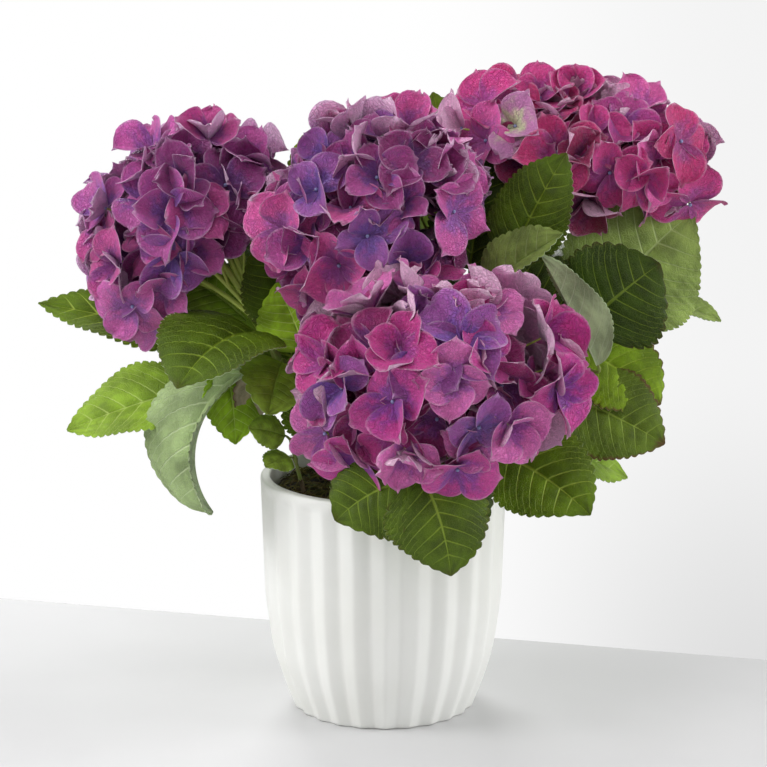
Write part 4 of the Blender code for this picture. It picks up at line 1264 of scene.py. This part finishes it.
# %% The pot's sizes
POT_OUTSIDE = ((0, 61.0), (9, 64.5), (22, 69.5), (40, 75.0), (75, 79.8), (156, 82.4))
POT_HEIGHT = 160
POT_WALL = 6.6
POT_FLOOR = 7
POT_EASE = 9.0
RIBS = 24
RIB_COLUMNS = 16
RIB_DEPTH = 3.1
RIB_EASE = 0.12
RIB_TURN = math.radians(-6.5)
RIB_FADE = (149, 157.5)
GROOVE_FILL = 0.35
LIP = 1.9
INNER_LIP = 1.4
RIM_FOOT = 157
UNDERSIDE = (
    (0.0, 0.5, 0), (0.0, 20, 0), (0.0, 40, 0), (0.0, 54, 0),
    (0.0, 57.5, 0.35), (0.15, 59.6, 0.6), (0.7, 60.7, 0.75),
)
SIDE_HEIGHTS = (*np.linspace(1.6, 20, 12), *np.linspace(23, 146, 30), *np.linspace(148, RIM_FOOT, 10))
INSIDE_HEIGHTS = (150, 140, 120, 75, 36, 14)
TURNED_CAP = ((0.99, 0), (0.99, 0.01), (1, 0.01), (1, 0))


def turned_skin(rings):
    """The skin of a turned body, mapped evenly from its first ring to its last."""
    count = len(rings)
    return ring_skin(rings, np.arange(count - 1) / count, 1 / count, TURNED_CAP)


def pot_radius(height):
    """The radius over the reeds at a height: the plain profile with its corners eased."""
    heights, radii = zip(*POT_OUTSIDE)
    slope = (radii[1] - radii[0]) / (heights[1] - heights[0])
    heights = (-30,) + heights + (190,)
    radii = (radii[0] - 30 * slope,) + radii + (radii[-1] + 0.8,)
    spots = np.linspace(-1, 1, 41)
    ease = POT_EASE * min(1.0, 0.25 + height / 24)
    weights = np.exp(-2 * spots**2)
    return float((np.interp(height + spots * ease, heights, radii) * weights).sum() / weights.sum())


# %% Turn the pot
def pot_profile():
    """Height, radius and share of the reeds' depth, from the middle of the underside to that of the floor."""
    profile = list(UNDERSIDE)
    for height in SIDE_HEIGHTS:
        fade = min(1.0, max(0.0, (RIB_FADE[1] - height) / (RIB_FADE[1] - RIB_FADE[0])))
        profile.append((height, pot_radius(height), fade * fade * (3 - 2 * fade)))
    rim_radius = pot_radius(RIM_FOOT)
    height, radius = POT_HEIGHT - LIP, rim_radius - LIP
    for turn in np.linspace(0, math.pi / 2, 6)[1:]:
        profile.append((height + LIP * math.sin(turn), radius + LIP * math.cos(turn), 0.0))
    height, radius = POT_HEIGHT - INNER_LIP, rim_radius - POT_WALL + INNER_LIP
    for turn in np.linspace(math.pi / 2, math.pi, 5):
        profile.append((height + INNER_LIP * math.sin(turn), radius + INNER_LIP * math.cos(turn), 0.0))
    profile += [(height, pot_radius(height) - POT_WALL, 0.0) for height in INSIDE_HEIGHTS]
    return profile + [(POT_FLOOR, pot_radius(POT_FLOOR) - POT_WALL - 3, 0.0), (POT_FLOOR, 0.5, 0.0)]


def pot_rings():
    """The pot's rings, pressed in between the crests of the reeds."""
    columns = np.arange(RIBS * RIB_COLUMNS)
    angles = RIB_TURN - math.pi / 2 + 2 * np.pi * columns / len(columns)
    from_crest = np.abs(columns % RIB_COLUMNS / RIB_COLUMNS - 0.5) * 2
    groove = (np.hypot(from_crest, RIB_EASE) - RIB_EASE) / (math.hypot(1, RIB_EASE) - RIB_EASE) * RIB_DEPTH
    groove = groove - GROOVE_FILL * np.clip((from_crest - 0.8) / 0.2, 0, 1) ** 2
    rings = []
    for height, radius, share in pot_profile():
        reach = radius - groove * share
        level = np.full_like(angles, height)
        rings.append(np.stack([reach * np.cos(angles), reach * np.sin(angles), level], -1))
    return np.array(rings) * MM


basket = Basket()
basket.add(*turned_skin(pot_rings()), 0)
basket.piece("reeded_pot", [glaze], ["pot"], "pot", sharp=60)
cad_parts["root_ball"].data.materials.clear()
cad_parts["root_ball"].data.materials.append(soil)

# %% [markdown]
# ## Moss and soil
# Dried moss covers the soil, as florists do to hide it. A dark, humped bed is laid first. Then some
# seventeen hundred fine strands are curled over it, each a thin tube that starts in the bed, arches and dives
# back in. A strand that would leave the pot is left out.

# %% Lay the moss
MOSS_THICKNESS = 7.5
MOSS_CROWN = 2.5
MOSS_BUMP = 1.1
MOSS_TUFT = 0.5
MOSS_RADIUS = 74.6
MOSS_EDGE = 2.5
MOSS_SIDES = 120


def moss_top(x, y):
    """The height of the moss over a place, in millimetres: low hummocks that rise to the middle."""
    far = np.hypot(x, y) / 82
    bumps = np.sin(x * 0.21 + 1.0) * np.cos(y * 0.19) + 0.6 * np.sin(x * 0.43 - y * 0.37)
    tufts = np.sin(x * 1.3 + 2 * np.sin(y * 0.7)) * np.sin(y * 1.1 + 2 * np.sin(x * 0.9))
    crown = MOSS_CROWN * (1 - far * far)
    return SOIL_TOP + MOSS_THICKNESS + crown + MOSS_BUMP * bumps + MOSS_TUFT * tufts


turns = 2 * np.pi * np.arange(MOSS_SIDES) / MOSS_SIDES
rings = [(share * MOSS_RADIUS, np.full(MOSS_SIDES, SOIL_TOP + 0.3)) for share in (0.01, 0.5, 1.0)]
for share in (1.0, 0.985, 0.95, *np.linspace(0.91, 0.01, 32)):
    radius = share * MOSS_RADIUS
    top = moss_top(radius * np.cos(turns), radius * np.sin(turns))
    sunk = np.clip((share - 0.9) / 0.1, 0, 1) ** 2
    rings.append((radius, top * (1 - sunk) + (SOIL_TOP + MOSS_EDGE) * sunk))
rings = [np.stack([r * np.cos(turns), r * np.sin(turns), h], -1) for r, h in rings]
basket = Basket()
basket.add(*turned_skin(np.array(rings) * MM), 0)
basket.piece("moss_bed", [moss_bed], ["moss"], "moss")

# %% Curl the strands
STRANDS = 1700
STRAND_STEPS = 5
STRAND_BENDS = (-1.6, 1.6)
STRAND_LENGTHS = (6, 19)
STRAND_ARCHES = (1.0, 3.4)
STRAND_RADII = (0.22, 0.5)
STRAND_TAPER = (0.5, 1.0, 1.0, 0.9, 0.7, 0.3)
STRAND_SINK = 0.9
STRAND_LOOKS = (0, 0, 0, 1, 1, 2)

luck = random.Random(f"moss {SEED}")
basket = Basket()
for number in range(STRANDS):
    radius, turn = MOSS_RADIUS * 0.97 * math.sqrt(luck.random()), luck.uniform(0, 2 * math.pi)
    heading, bend = luck.uniform(0, 2 * math.pi), luck.uniform(*STRAND_BENDS)
    length, arch = luck.uniform(*STRAND_LENGTHS), luck.uniform(*STRAND_ARCHES)
    x, y = radius * math.cos(turn), radius * math.sin(turn)
    route = []
    for step in range(STRAND_STEPS + 1):
        share = step / STRAND_STEPS
        route.append((x, y, float(moss_top(x, y)) - STRAND_SINK + arch * math.sin(math.pi * share)))
        x += math.cos(heading + bend * share) * length / STRAND_STEPS
        y += math.sin(heading + bend * share) * length / STRAND_STEPS
    if max(math.hypot(p[0], p[1]) for p in route) < MOSS_RADIUS:
        thick = luck.uniform(*STRAND_RADII) * MM
        radii = [thick * taper for taper in STRAND_TAPER]
        basket.add(*tube(np.array(route) * MM, radii, 4), luck.choice(STRAND_LOOKS))
basket.piece("moss_strands", [moss_olive, moss_brown, moss_green], ["moss"], "moss", sharp=80)

# %% [markdown]
# ## Canes and green stems
# Each shoot starts as a woody cane with peeling, ridged bark and a ring where last year's leaves stood. It
# runs on as this year's green stem, a little swollen where a pair of leaf stalks leaves it.

# %% Grow the canes
CANE_SIDES = 20
CANE_STEP = 1.2
CANE_SUNK = 4
OLD_LEAF_PAIRS = 5
BARK_RIDGE = 0.16
BARK_RING = 0.7


def bark_relief(around, along):
    """How far bark stands out: ridges along the cane and a ring at each old leaf pair."""
    ridges = np.sin(around * 5 + 3 * np.sin(along * 9)) + 0.6 * np.sin(around * 9 - 4 * np.sin(along * 14))
    ring = np.exp(-(((along * OLD_LEAF_PAIRS) % 1 - 0.5) / 0.06) ** 2)
    return (BARK_RIDGE * ridges + BARK_RING * ring) * MM


basket = Basket()
for name, shoot in SHOOTS.items():
    route = stretch(shoot.route, 0.0, shoot.cane, CANE_STEP)
    radii = [limb_radius(shoot, shoot.cane * i / (len(route) - 1)) for i in range(len(route))]
    route = [route[0] - Vector((0, 0, CANE_SUNK * MM))] + route
    radii = [radii[0] * 1.04] + radii
    basket.add(*tube(route, radii, CANE_SIDES, bark_relief), 0)
basket.piece("woody_canes", [bark], ["cane_" + name for name in SHOOTS], "cane", sharp=80)

# %% Grow the green stems and the leaf stalks
STEM_STEP = 2.5
STEM_SIDES = 10
OVERLAP = 0.01
NODE_SWELL = 0.7
NODE_LENGTH = 0.012
LEAF_STALK = (2.0, 1.35)
LEAF_STALK_STEPS = 9


def stem_radii(shoot, shares, nodes):
    """The radii of a green stem, a little swollen at each leaf pair."""
    radii = []
    for share in shares:
        swell = max([math.exp(-(((share - at) / NODE_LENGTH) ** 2)) for at in nodes] + [0.0])
        radii.append(limb_radius(shoot, share) + NODE_SWELL * MM * swell)
    return radii


stems = Basket()
for name, shoot in SHOOTS.items():
    start = shoot.cane - OVERLAP
    route = stretch(shoot.route, start, shoot.leafy, STEM_STEP)
    shares = [start + (shoot.leafy - start) * i / (len(route) - 1) for i in range(len(route))]
    radii = stem_radii(shoot, shares, [leaf.at for leaf, root in placed[name]])
    stems.add(*tube(route, radii, STEM_SIDES), 0)
    for leaf, root in placed[name]:
        route = stalk_line(leaf, root, LEAF_STALK_STEPS) + [leaf_foot(leaf, root)]
        scale = min(1.0, leaf.width / 50)
        stems.add(*tube(route, np.linspace(*LEAF_STALK, len(route)) * scale * MM), 0)
stems.piece("green_stems", [green_stem], ["leaves_" + name for name in SHOOTS], "leaf", sharp=80)

# %% [markdown]
# ## Leaves
# Every placed leaf gets its fine blade. The front ones have chosen greens, and the rest draw theirs. A young
# leaf curls more than an old one.

# %% Grow the leaf blades
TONES = {
    "left": ("bright", "silver", "dark", "mid", "bright", "young"),
    "middle": ("lit", "mid"),
    "front": ("dark", "sage", "deep"),
    "right": ("sage", "dark", "sage", "deep", "mid", "dark"),
    "side": ("mid", "bright", "scorched", "golden", "deep", "back"),
    "young": ("young", "young", "young"),
}
DEALT = ("mid", "mid", "dark", "dark", "bright", "deep", "sage")
CURLS = (0.02, 0.16)
YOUNG_CURL = 0.3

for name, shoot in SHOOTS.items():
    luck = random.Random(f"blades {name} {SEED}")
    basket = Basket()
    listed = dict(enumerate(TONES.get(name, ())))
    for number, (tone, leaf) in enumerate(TUCKED.get(name, ())):
        listed[listed_count[name] + number] = tone
    for number, (leaf, root) in enumerate(placed[name]):
        tone = listed.get(number) or luck.choice(DEALT)
        curl = YOUNG_CURL if name == "young" else luck.uniform(*CURLS)
        quilt = SAGE_QUILT if tone == "sage" else QUILT
        finish, back = LEAF_NUMBERS[tone], LEAF_NUMBERS["back"]
        blade(basket, leaf, leaf_foot(leaf, root), luck, finish, back, curl, quilt)
    slot = "young_leaf" if name == "young" else "leaf"
    basket.piece("blades_" + name, leaf_looks, ["leaves_" + name], slot, sharp=55)

# %% [markdown]
# ## Blooms
# A mophead is a dome of florets on branching stalks. The florets follow a golden spiral over an ellipsoid, as
# seeds do in a sunflower head, which spreads them evenly. Each one then leans, sinks or stands out a little,
# so that the head looks crowded and alive. A few more florets deeper down close the gaps, and the florets
# that sit deep wear the darkest tint as painted shade. One that would run into a leaf is pulled in. Each dome
# faces a way, opens below, may be shifted by some millimetres and stretched, and may have a gap on one side.

# %% Shape the domes
Dome = namedtuple("Dome", "facing opening parting shift stretched gap")
DOMES = {
    "front": Dome((-0.06, -0.70, 0.71), 56, 0.90, (-2, 0, 0), (0.97, 1, 0.96), None),
    "middle": Dome((-0.10, -0.35, 0.93), 58, 0.88, (3, 0, -3), (1, 1, 1), None),
    "left": Dome((-0.62, -0.20, 0.76), 58, 0.60, (2, 0, -9), (0.98, 1, 1), (0.52, -0.58, -0.63)),
    "right": Dome((0.20, -0.30, 0.93), 60, 0.86, (-3, 0, -4), (1.12, 1, 0.79), None),
}
Head = namedtuple("Head", "centre body normals turned")


def dome_head(bloom, dome):
    """Where a bloom's dome is, how its unit ball becomes its shape, and how +Z turns to the way it faces."""
    body = Matrix.Diagonal(dome.stretched) @ bloom_matrix(bloom)
    turned = Vector(dome.facing).normalized().to_track_quat("Z", "Y").to_matrix()
    centre = (Vector(bloom.centre) + Vector(dome.shift)) * MM
    return Head(centre, body, body.inverted().transposed(), turned)


heads = {name: dome_head(bloom, DOMES[name]) for name, bloom in BLOOMS.items()}
print({name: [round(v, 3) for v in head.centre] for name, head in heads.items()})

# %% [markdown]
# ## Florets set one by one
# The florets that meet the eye first give each head its face, so a few of them are set one by one: where the
# bead sits, which way it looks, its size and tint, how its sepals rise and bend back, and how far they are
# turned. The spiral fills in the others and keeps its distance from these.

# %% Set the leading florets
Posed = namedtuple("Posed", "place facing size tint lift bend spin")
POSED_ROOM = 15 * MM
POSED_FLORETS = {
    "front": (
        Posed((48, -131, 276), (0.17, -0.87, 0.46), 0.98, 2, 20, 20, 233),
        Posed((42, -141, 254), (0.15, -0.98, 0.10), 0.90, 3, 34, 30, 193),
        Posed((6, -139, 241), (-0.26, -0.96, -0.02), 0.92, 0, 24, 16, 32),
        Posed((-25, -124, 246), (-0.59, -0.80, 0.12), 0.88, 2, 20, 30, 326),
        Posed((10, -133, 271), (-0.21, -0.87, 0.44), 0.92, 1, 40, 24, 264),
        Posed((-36, -92, 210), (-0.64, -0.67, -0.37), 0.90, 3, 14, 30, 15),
        Posed((-17, -96, 195), (-0.37, -0.73, -0.58), 0.92, 0, 16, 24, 95),
        Posed((13, -130, 208), (-0.09, -0.88, -0.46), 0.95, 3, 34, 20, 113),
        Posed((46, -117, 193), (0.17, -0.82, -0.54), 0.90, 0, 22, 20, 109),
        Posed((77, -128, 223), (0.36, -0.89, -0.26), 0.92, 3, 44, 30, 153),
        Posed((108, -108, 242), (0.70, -0.71, 0.00), 0.94, 0, 24, 24, 228),
        Posed((99, -93, 271), (0.69, -0.54, 0.48), 0.88, 1, 36, 30, 259),
        Posed((33, -125, 227), (0.00, -0.98, -0.21), 1.00, 4, 22, 26, 92),
        Posed((-8, -108, 222), (-0.30, -0.90, -0.32), 0.96, 4, 26, 26, 36),
        Posed((73, -115, 246), (0.29, -0.96, 0.00), 0.96, 4, 26, 26, 177),
    ),
    "middle": (
        Posed((-4, -57, 367), (-0.08, -0.89, 0.44), 0.92, 0, 22, 24, 317),
        Posed((44, -46, 344), (0.56, -0.82, 0.11), 0.98, 1, 18, 20, 271),
        Posed((-10, -68, 332), (-0.08, -1.00, -0.00), 0.84, 2, 22, 20, 218),
        Posed((14, -59, 315), (0.17, -0.91, -0.38), 0.90, 2, 12, 20, 214),
        Posed((-28, -60, 312), (-0.26, -0.93, -0.27), 0.90, 3, 30, 24, 308),
        Posed((-42, -48, 294), (-0.26, -0.79, -0.56), 0.90, 3, 14, 34, 109),
        Posed((-62, -43, 332), (-0.63, -0.78, 0.06), 0.95, 3, 20, 22, 333),
        Posed((-42, -48, 358), (-0.52, -0.76, 0.38), 0.88, 2, 30, 24, 325),
        Posed((18, -49, 375), (0.22, -0.80, 0.56), 0.92, 4, 30, 16, 259),
        Posed((15, -27, 395), (0.13, -0.53, 0.84), 0.86, 3, 40, 24, 279),
    ),
    "left": (
        Posed((-141, -10, 338), (-0.24, -0.94, 0.24), 1.02, 0, 14, 20, 9),
        Posed((-131, 0, 356), (-0.14, -0.84, 0.53), 0.90, 4, 24, 14, 317),
        Posed((-104, 6, 353), (0.19, -0.89, 0.40), 1.05, 4, 6, 10, 301),
        Posed((-137, -14, 310), (-0.06, -0.99, -0.14), 0.84, 2, 28, 20, 352),
        Posed((-174, -1, 303), (-0.56, -0.82, -0.07), 0.86, 3, 26, 50, 7),
        Posed((-165, -4, 275), (-0.31, -0.86, -0.40), 0.98, 1, 20, 30, 70),
        Posed((-184, 25, 335), (-0.73, -0.58, 0.36), 0.86, 0, 34, 30, 327),
        Posed((-153, 43, 371), (-0.42, -0.45, 0.79), 0.88, 1, 44, 24, 300),
        Posed((-116, 26, 381), (0.08, -0.55, 0.83), 0.88, 3, 52, 16, 278),
    ),
    "right": (
        Posed((115, 28, 372), (-0.14, -0.96, 0.25), 1.04, 1, 8, 16, 26),
        Posed((150, 27, 359), (0.11, -0.99, -0.09), 0.90, 0, 22, 20, 225),
        Posed((159, 46, 384), (0.18, -0.77, 0.61), 0.86, 2, 30, 20, 350),
        Posed((88, 36, 388), (-0.30, -0.82, 0.49), 0.92, 6, 34, 20, 262),
        Posed((69, 63, 398), (-0.47, -0.64, 0.61), 0.94, 0, 26, 34, 296),
        Posed((86, 78, 401), (-0.24, -0.62, 0.75), 0.88, 1, 36, 30, 250),
        Posed((106, 74, 402), (-0.06, -0.59, 0.81), 0.84, 0, 46, 20, 301),
        Posed((69, 40, 378), (-0.56, -0.78, 0.28), 0.84, 3, 20, 20, 82),
        Posed((53, 43, 386), (-0.81, -0.55, 0.21), 0.84, 5, 42, 8, 269),
        Posed((131, 80, 401), (-0.03, -0.54, 0.84), 0.86, 0, 46, 16, 275),
        Posed((198, 43, 377), (0.55, -0.71, 0.44), 0.96, 1, 14, 30, 201),
        Posed((171, 28, 356), (0.25, -0.91, -0.33), 0.90, 0, 20, 24, 179),
        Posed((206, 49, 335), (0.38, -0.69, -0.61), 0.98, 0, 8, 34, 224),
        Posed((174, 78, 393), (0.37, -0.53, 0.77), 0.84, 3, 36, 20, 243),
    ),
}
print(sum(map(len, POSED_FLORETS.values())), "florets set by hand")


# %% Spiral, chance and bow
GOLDEN_ANGLE = math.pi * (3 - math.sqrt(5))
BOW_STEPS = 7


def spiral(count, opening, luck):
    """Directions spread evenly over a dome about +Z, but for an opening below, in degrees."""
    lowest = -math.cos(math.radians(opening))
    for index in range(count):
        height = 1 - (1 - lowest) * (index + 0.5) / count
        ring = math.sqrt(1 - height * height)
        turn = index * GOLDEN_ANGLE + luck.uniform(-0.25, 0.25)
        yield Vector((ring * math.cos(turn), ring * math.sin(turn), height))


def chance(luck, reach, scale=1.0):
    """A random step, each way at most a reach times a scale."""
    return Vector([luck.uniform(-reach, reach) * scale for _ in range(3)])


def curved(first, second, sag, steps=BOW_STEPS):
    """Points from one place to another along a soft bow."""
    bend = (first + second) / 2 + sag
    shares = [step / steps for step in range(steps + 1)]
    return [first * (1 - s) ** 2 + bend * 2 * s * (1 - s) + second * s**2 for s in shares]


# %% Branch the stalks under a bloom
RAYS = 9
RAY_REACH = 0.38
RAY_STEPS = 12
RAY_SAG = (0.05, 0.34)
RAY_SWAY = 0.13
RAY_STOUTNESS = (0.75, 1.2)
INNER_OPENING = 75
FORKS = (0.45, 0.7)
MAIN_STALK, RAY, FORK, FLORET_STALK = (2.9, 2.4), (2.1, 1.15), (1.1, 0.8), (0.95, 0.7)


def add_stalk(line, radii, sides):
    """Adds a tapering flower stalk along a line, its first and last radius in millimetres."""
    stalks.add(*tube(line, np.linspace(*radii, len(line)) * MM, sides), 0)


def grow_rays(name, head, luck):
    """Adds a bloom's main stalk and the forked rays that part from it, and gives back the rays' ends."""
    shoot, parting = SHOOTS[name], DOMES[name].parting
    hub = bezier(shoot.route, parting)
    ways = spiral(RAYS, INNER_OPENING, luck)
    ends = [head.centre + head.body @ (head.turned @ way) * RAY_REACH for way in ways]
    add_stalk(stretch(shoot.route, shoot.leafy - OVERLAP, parting + OVERLAP, 3), MAIN_STALK, 10)
    climb = (hub - bezier(shoot.route, parting - 0.05)).normalized()
    for end in ends:
        length = (end - hub).length
        sag = climb * length * luck.uniform(*RAY_SAG) + chance(luck, RAY_SWAY, length)
        stout = luck.uniform(*RAY_STOUTNESS)
        line = curved(hub, end, sag, RAY_STEPS)
        add_stalk(line, [radius * stout for radius in RAY], 8)
        for share in FORKS:
            side = chance(luck, 1).normalized() * length * 0.2
            add_stalk(curved(line[int(share * RAY_STEPS)], end + side, side * 0.3, 6), FORK, 6)
    return ends


# %% Deal out the florets
FLORETS = 56
INNER_FLORETS = 28
OUTER_SHARE = 0.73
INNER_SHARE = 0.50
DEEP_SHARE = INNER_SHARE + 0.09
# florets deep in the head wear the darkest tint, which is painted shade
PAINTED_SHADE_TINT = 4
TINTS = (0, 0, 1, 1, 2, 3, 3, 4)
GAP_SHARE = math.cos(math.radians(42))
FLORET_SIZES = (0.78, 1.0)
FLORET_LEAN = 0.42
CLOSED_SHARE = 0.24
CLOSED_POSE = ((44, 62), (0, 30))
OPEN_POSE = ((2, 46), (0, 56))
PULLS = (0.0, 0.06, 0.12, 0.2)
CROWDED = 0.8
Grown = namedtuple("Grown", "place facing size tint lift bend spin")


def floret_disc(centre, facing, radius):
    """A stand-in for a floret: a flat eight-sided plate."""
    across, up = frame_along(facing, Vector((0.3, 0.5, 0.8)).normalized())
    turns = [math.pi / 4 * side for side in range(8)]
    points = [centre + radius * (math.cos(a) * across + math.sin(a) * up) for a in turns]
    return points, [tuple(range(8))]


def dome_places(name, head, luck):
    """The ways from a dome's centre to its florets, and how far out each sits, but for those in its gap."""
    dome = DOMES[name]
    layers = [(head.turned @ way, OUTER_SHARE) for way in spiral(FLORETS, dome.opening, luck)]
    layers += [(head.turned @ way, INNER_SHARE) for way in spiral(INNER_FLORETS, INNER_OPENING, luck)]
    if dome.gap:
        gap = Vector(dome.gap).normalized()
        layers = [(outward, share) for outward, share in layers if outward.dot(gap) < GAP_SHARE]
    return layers


def grow_floret(head, outward, share, scale, blocked, luck):
    """One floret of the spiral: it leans by chance, may be half closed, and is pulled in off a leaf."""
    facing = ((head.normals @ outward).normalized() + chance(luck, FLORET_LEAN)).normalized()
    size = scale * luck.uniform(*FLORET_SIZES)
    closed = luck.random() < CLOSED_SHARE
    share += luck.uniform(-0.07, 0.07) - 0.08 * closed
    lift, bend = [luck.uniform(*span) for span in (CLOSED_POSE if closed else OPEN_POSE)]
    # a floret deep in the head takes the darkest tint as painted shade
    tint = luck.choice(TINTS) if share > DEEP_SHARE else PAINTED_SHADE_TINT
    for pull in PULLS:
        place = head.centre + head.body @ outward * (share - pull)
        disc = tree_of(floret_disc(place, facing, SEPAL_LENGTH * size * MM * 0.9))
        if not touches(disc, blocked):
            return Grown(place, facing, size, tint, lift, bend, None)
    return Grown(place, facing, size * CROWDED, tint, lift, bend, None)


# %% Grow the blooms
# undersides and sheet edges: partly their own pale colour, partly painted light that they catch
UNDERSIDE_AND_HIGHLIGHT_TINT = 5
STALK_BACK = 0.008

eyes, stalks = Basket(), Basket()
for name, bloom in BLOOMS.items():
    luck = random.Random(f"florets {name} {SEED}")
    head = heads[name]
    blocked = taken + other_limbs(name)
    ray_ends = grow_rays(name, head, luck)
    grown = [
        Grown(Vector(place) * MM, Vector(facing), size * bloom.size, tint, lift, bend, math.radians(spin))
        for place, facing, size, tint, lift, bend, spin in POSED_FLORETS[name]
    ]
    set_places = [one.place for one in grown]
    for outward, share in dome_places(name, head, luck):
        one = grow_floret(head, outward, share, bloom.size, blocked, luck)
        if all((one.place - other).length > POSED_ROOM for other in set_places):
            grown.append(one)
    sepals = Basket()
    for place, facing, size, tint, lift, bend, spin in grown:
        floret(sepals, eyes, place, facing, luck, size, tint, UNDERSIDE_AND_HIGHLIGHT_TINT, lift, bend, spin)
        nearest = min(ray_ends, key=lambda end: (end - place).length)
        bow = curved(nearest, place - facing * STALK_BACK, (place - head.centre) * -0.1)
        add_stalk(bow + [place], FLORET_STALK, 6)
    print(name, "has", len(grown), "florets")
    taken.append(tree_of(bloom_core(bloom, 0.9)))
    sepals.piece("sepals_" + name, bloom_looks[name], ["bloom_" + name], "bloom_" + name, sharp=60)
all_blooms = ["bloom_" + name for name in BLOOMS]
eyes.piece("floret_eyes", [eye_look], all_blooms, "bloom_front")
stalks.piece("flower_stalks", [flower_stem], all_blooms, "leaf", sharp=80)

# %% [markdown]
# ## Floor and light
# The shrub stands on a pale table whose far edge runs slantwise behind it, with bright paper beyond. The
# light is high and soft: a lamp to each side, one above, and one behind that makes petals and leaves glow at
# their rims, with pale surroundings on all sides. The paper is a white world. Where the camera sees it, it
# carries painted shade that makes it a little greyer low on the right, and what lights the plant from it is
# brighter at the sides and in front than behind.

# %% Lay the table top
EDGE_LEFT, EDGE_RIGHT = (0, 598), (PICTURE, 660)
EDGE_BEYOND = 2.5
TABLE_DEPTH = 4.5
TABLE_CELLS = 24


def on_floor(x, y):
    """The place on the floor that shows at a pixel."""
    aside, above = (x - PICTURE / 2) / PIXELS_PER_RADIAN, (PICTURE / 2 - y) / PIXELS_PER_RADIAN
    ray = forward + Vector((aside, 0, 0)) + upward * above
    return camera.location - ray * (camera.location.z / ray.z)


far_left, far_right = on_floor(*EDGE_LEFT), on_floor(*EDGE_RIGHT)
along_edge = (far_right - far_left).normalized()
far_left, far_right = far_left - along_edge * EDGE_BEYOND, far_right + along_edge * EDGE_BEYOND
nearer = Vector((0, -TABLE_DEPTH, 0))
points, faces = [], []
for row in range(TABLE_CELLS + 1):
    for column in range(TABLE_CELLS + 1):
        first = far_left.lerp(far_left + nearer, row / TABLE_CELLS)
        last = far_right.lerp(far_right + nearer, row / TABLE_CELLS)
        points.append(first.lerp(last, column / TABLE_CELLS))
for row in range(TABLE_CELLS):
    for column in range(TABLE_CELLS):
        first = row * (TABLE_CELLS + 1) + column
        faces.append((first, first + TABLE_CELLS + 1, first + TABLE_CELLS + 2, first + 1))
mesh = bpy.data.meshes.new("table_top")
mesh.from_pydata(points, [], faces)
mesh.materials.append(table_paper)
table_top = bpy.data.objects.new("table_top", mesh)
bpy.context.scene.collection.objects.link(table_top)
table_top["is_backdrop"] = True
print("table edge from", [round(v, 3) for v in far_left], "to", [round(v, 3) for v in far_right])

# %% Hang the lamps
# For each lamp: its place, its width and height in metres and its power in watts.
LAMPS = {
    "left_softbox": ((-1.25, -0.35, 1.05), (0.75, 1.0), 11.5),
    "right_softbox": ((1.7, -0.2, 0.9), (0.8, 1.3), 14),
    "back_softbox": ((-0.3, 1.6, 1.3), (0.9, 0.6), 20),
    "top_softbox": ((-0.5, -0.7, 2.4), (1.0, 1.0), 9),
}
for name, (place, size, watts) in LAMPS.items():
    light = bpy.data.lights.new(name, "AREA")
    light.shape = "RECTANGLE"
    light.size, light.size_y = size
    light.energy = watts
    lamp = bpy.data.objects.new(name, light)
    lamp.location = place
    lamp.rotation_euler = (Vector(place) - LOOK_AT).to_track_quat("Z", "Y").to_euler()
    bpy.context.scene.collection.objects.link(lamp)
print(len(LAMPS), "lamps")

# %% Light the studio all round
world = bpy.data.worlds.new("studio")
world.use_nodes = True
bpy.context.scene.world = world
tree = world.node_tree
tree.nodes.clear()
way = add_node(tree, "ShaderNodeSeparateXYZ")
feed(way.inputs[0], add_node(tree, "ShaderNodeTexCoord").outputs["Generated"])
rightward, ahead, above = way.outputs
# what the camera sees: white, with painted shade that makes it greyer low on the right
shown = times(between(rightward, 0.0, 0.14), between(above, -0.33, -0.2, 0.27, 0.10))
shown = minus(1.0, shown)
# what lights the plant
lit = between(maths("ABSOLUTE", rightward), 0.2, 0.9, 0.42, 0.85)
lit = plus(lit, between(ahead, -1.0, -0.3, 0.12, 0.0))
seen = add_node(tree, "ShaderNodeLightPath").outputs["Is Camera Ray"]
sky = add_node(tree, "ShaderNodeBackground")
sky.inputs["Color"].default_value = (1, 1, 1, 1)
feed(sky.inputs["Strength"], plus(times(seen, shown), times(minus(1.0, seen), lit)))
feed(add_node(tree, "ShaderNodeOutputWorld").inputs["Surface"], sky.outputs[0])

bpy.context.scene.view_settings.view_transform = "Standard"
bpy.context.scene.view_settings.look = "None"

# %% [markdown]
# The fine plant should keep the solids' size, so how far its box lies from theirs is written down for each
# axis.

# %% Compare the boxes and finish
fine_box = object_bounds()
for axis, label in enumerate("xyz"):
    low, high = fine_box[0][axis] - cad_box[0][axis], fine_box[1][axis] - cad_box[1][axis]
    print(f"{label}: {low / MM:.1f} and {high / MM:.1f} mm from the solids")
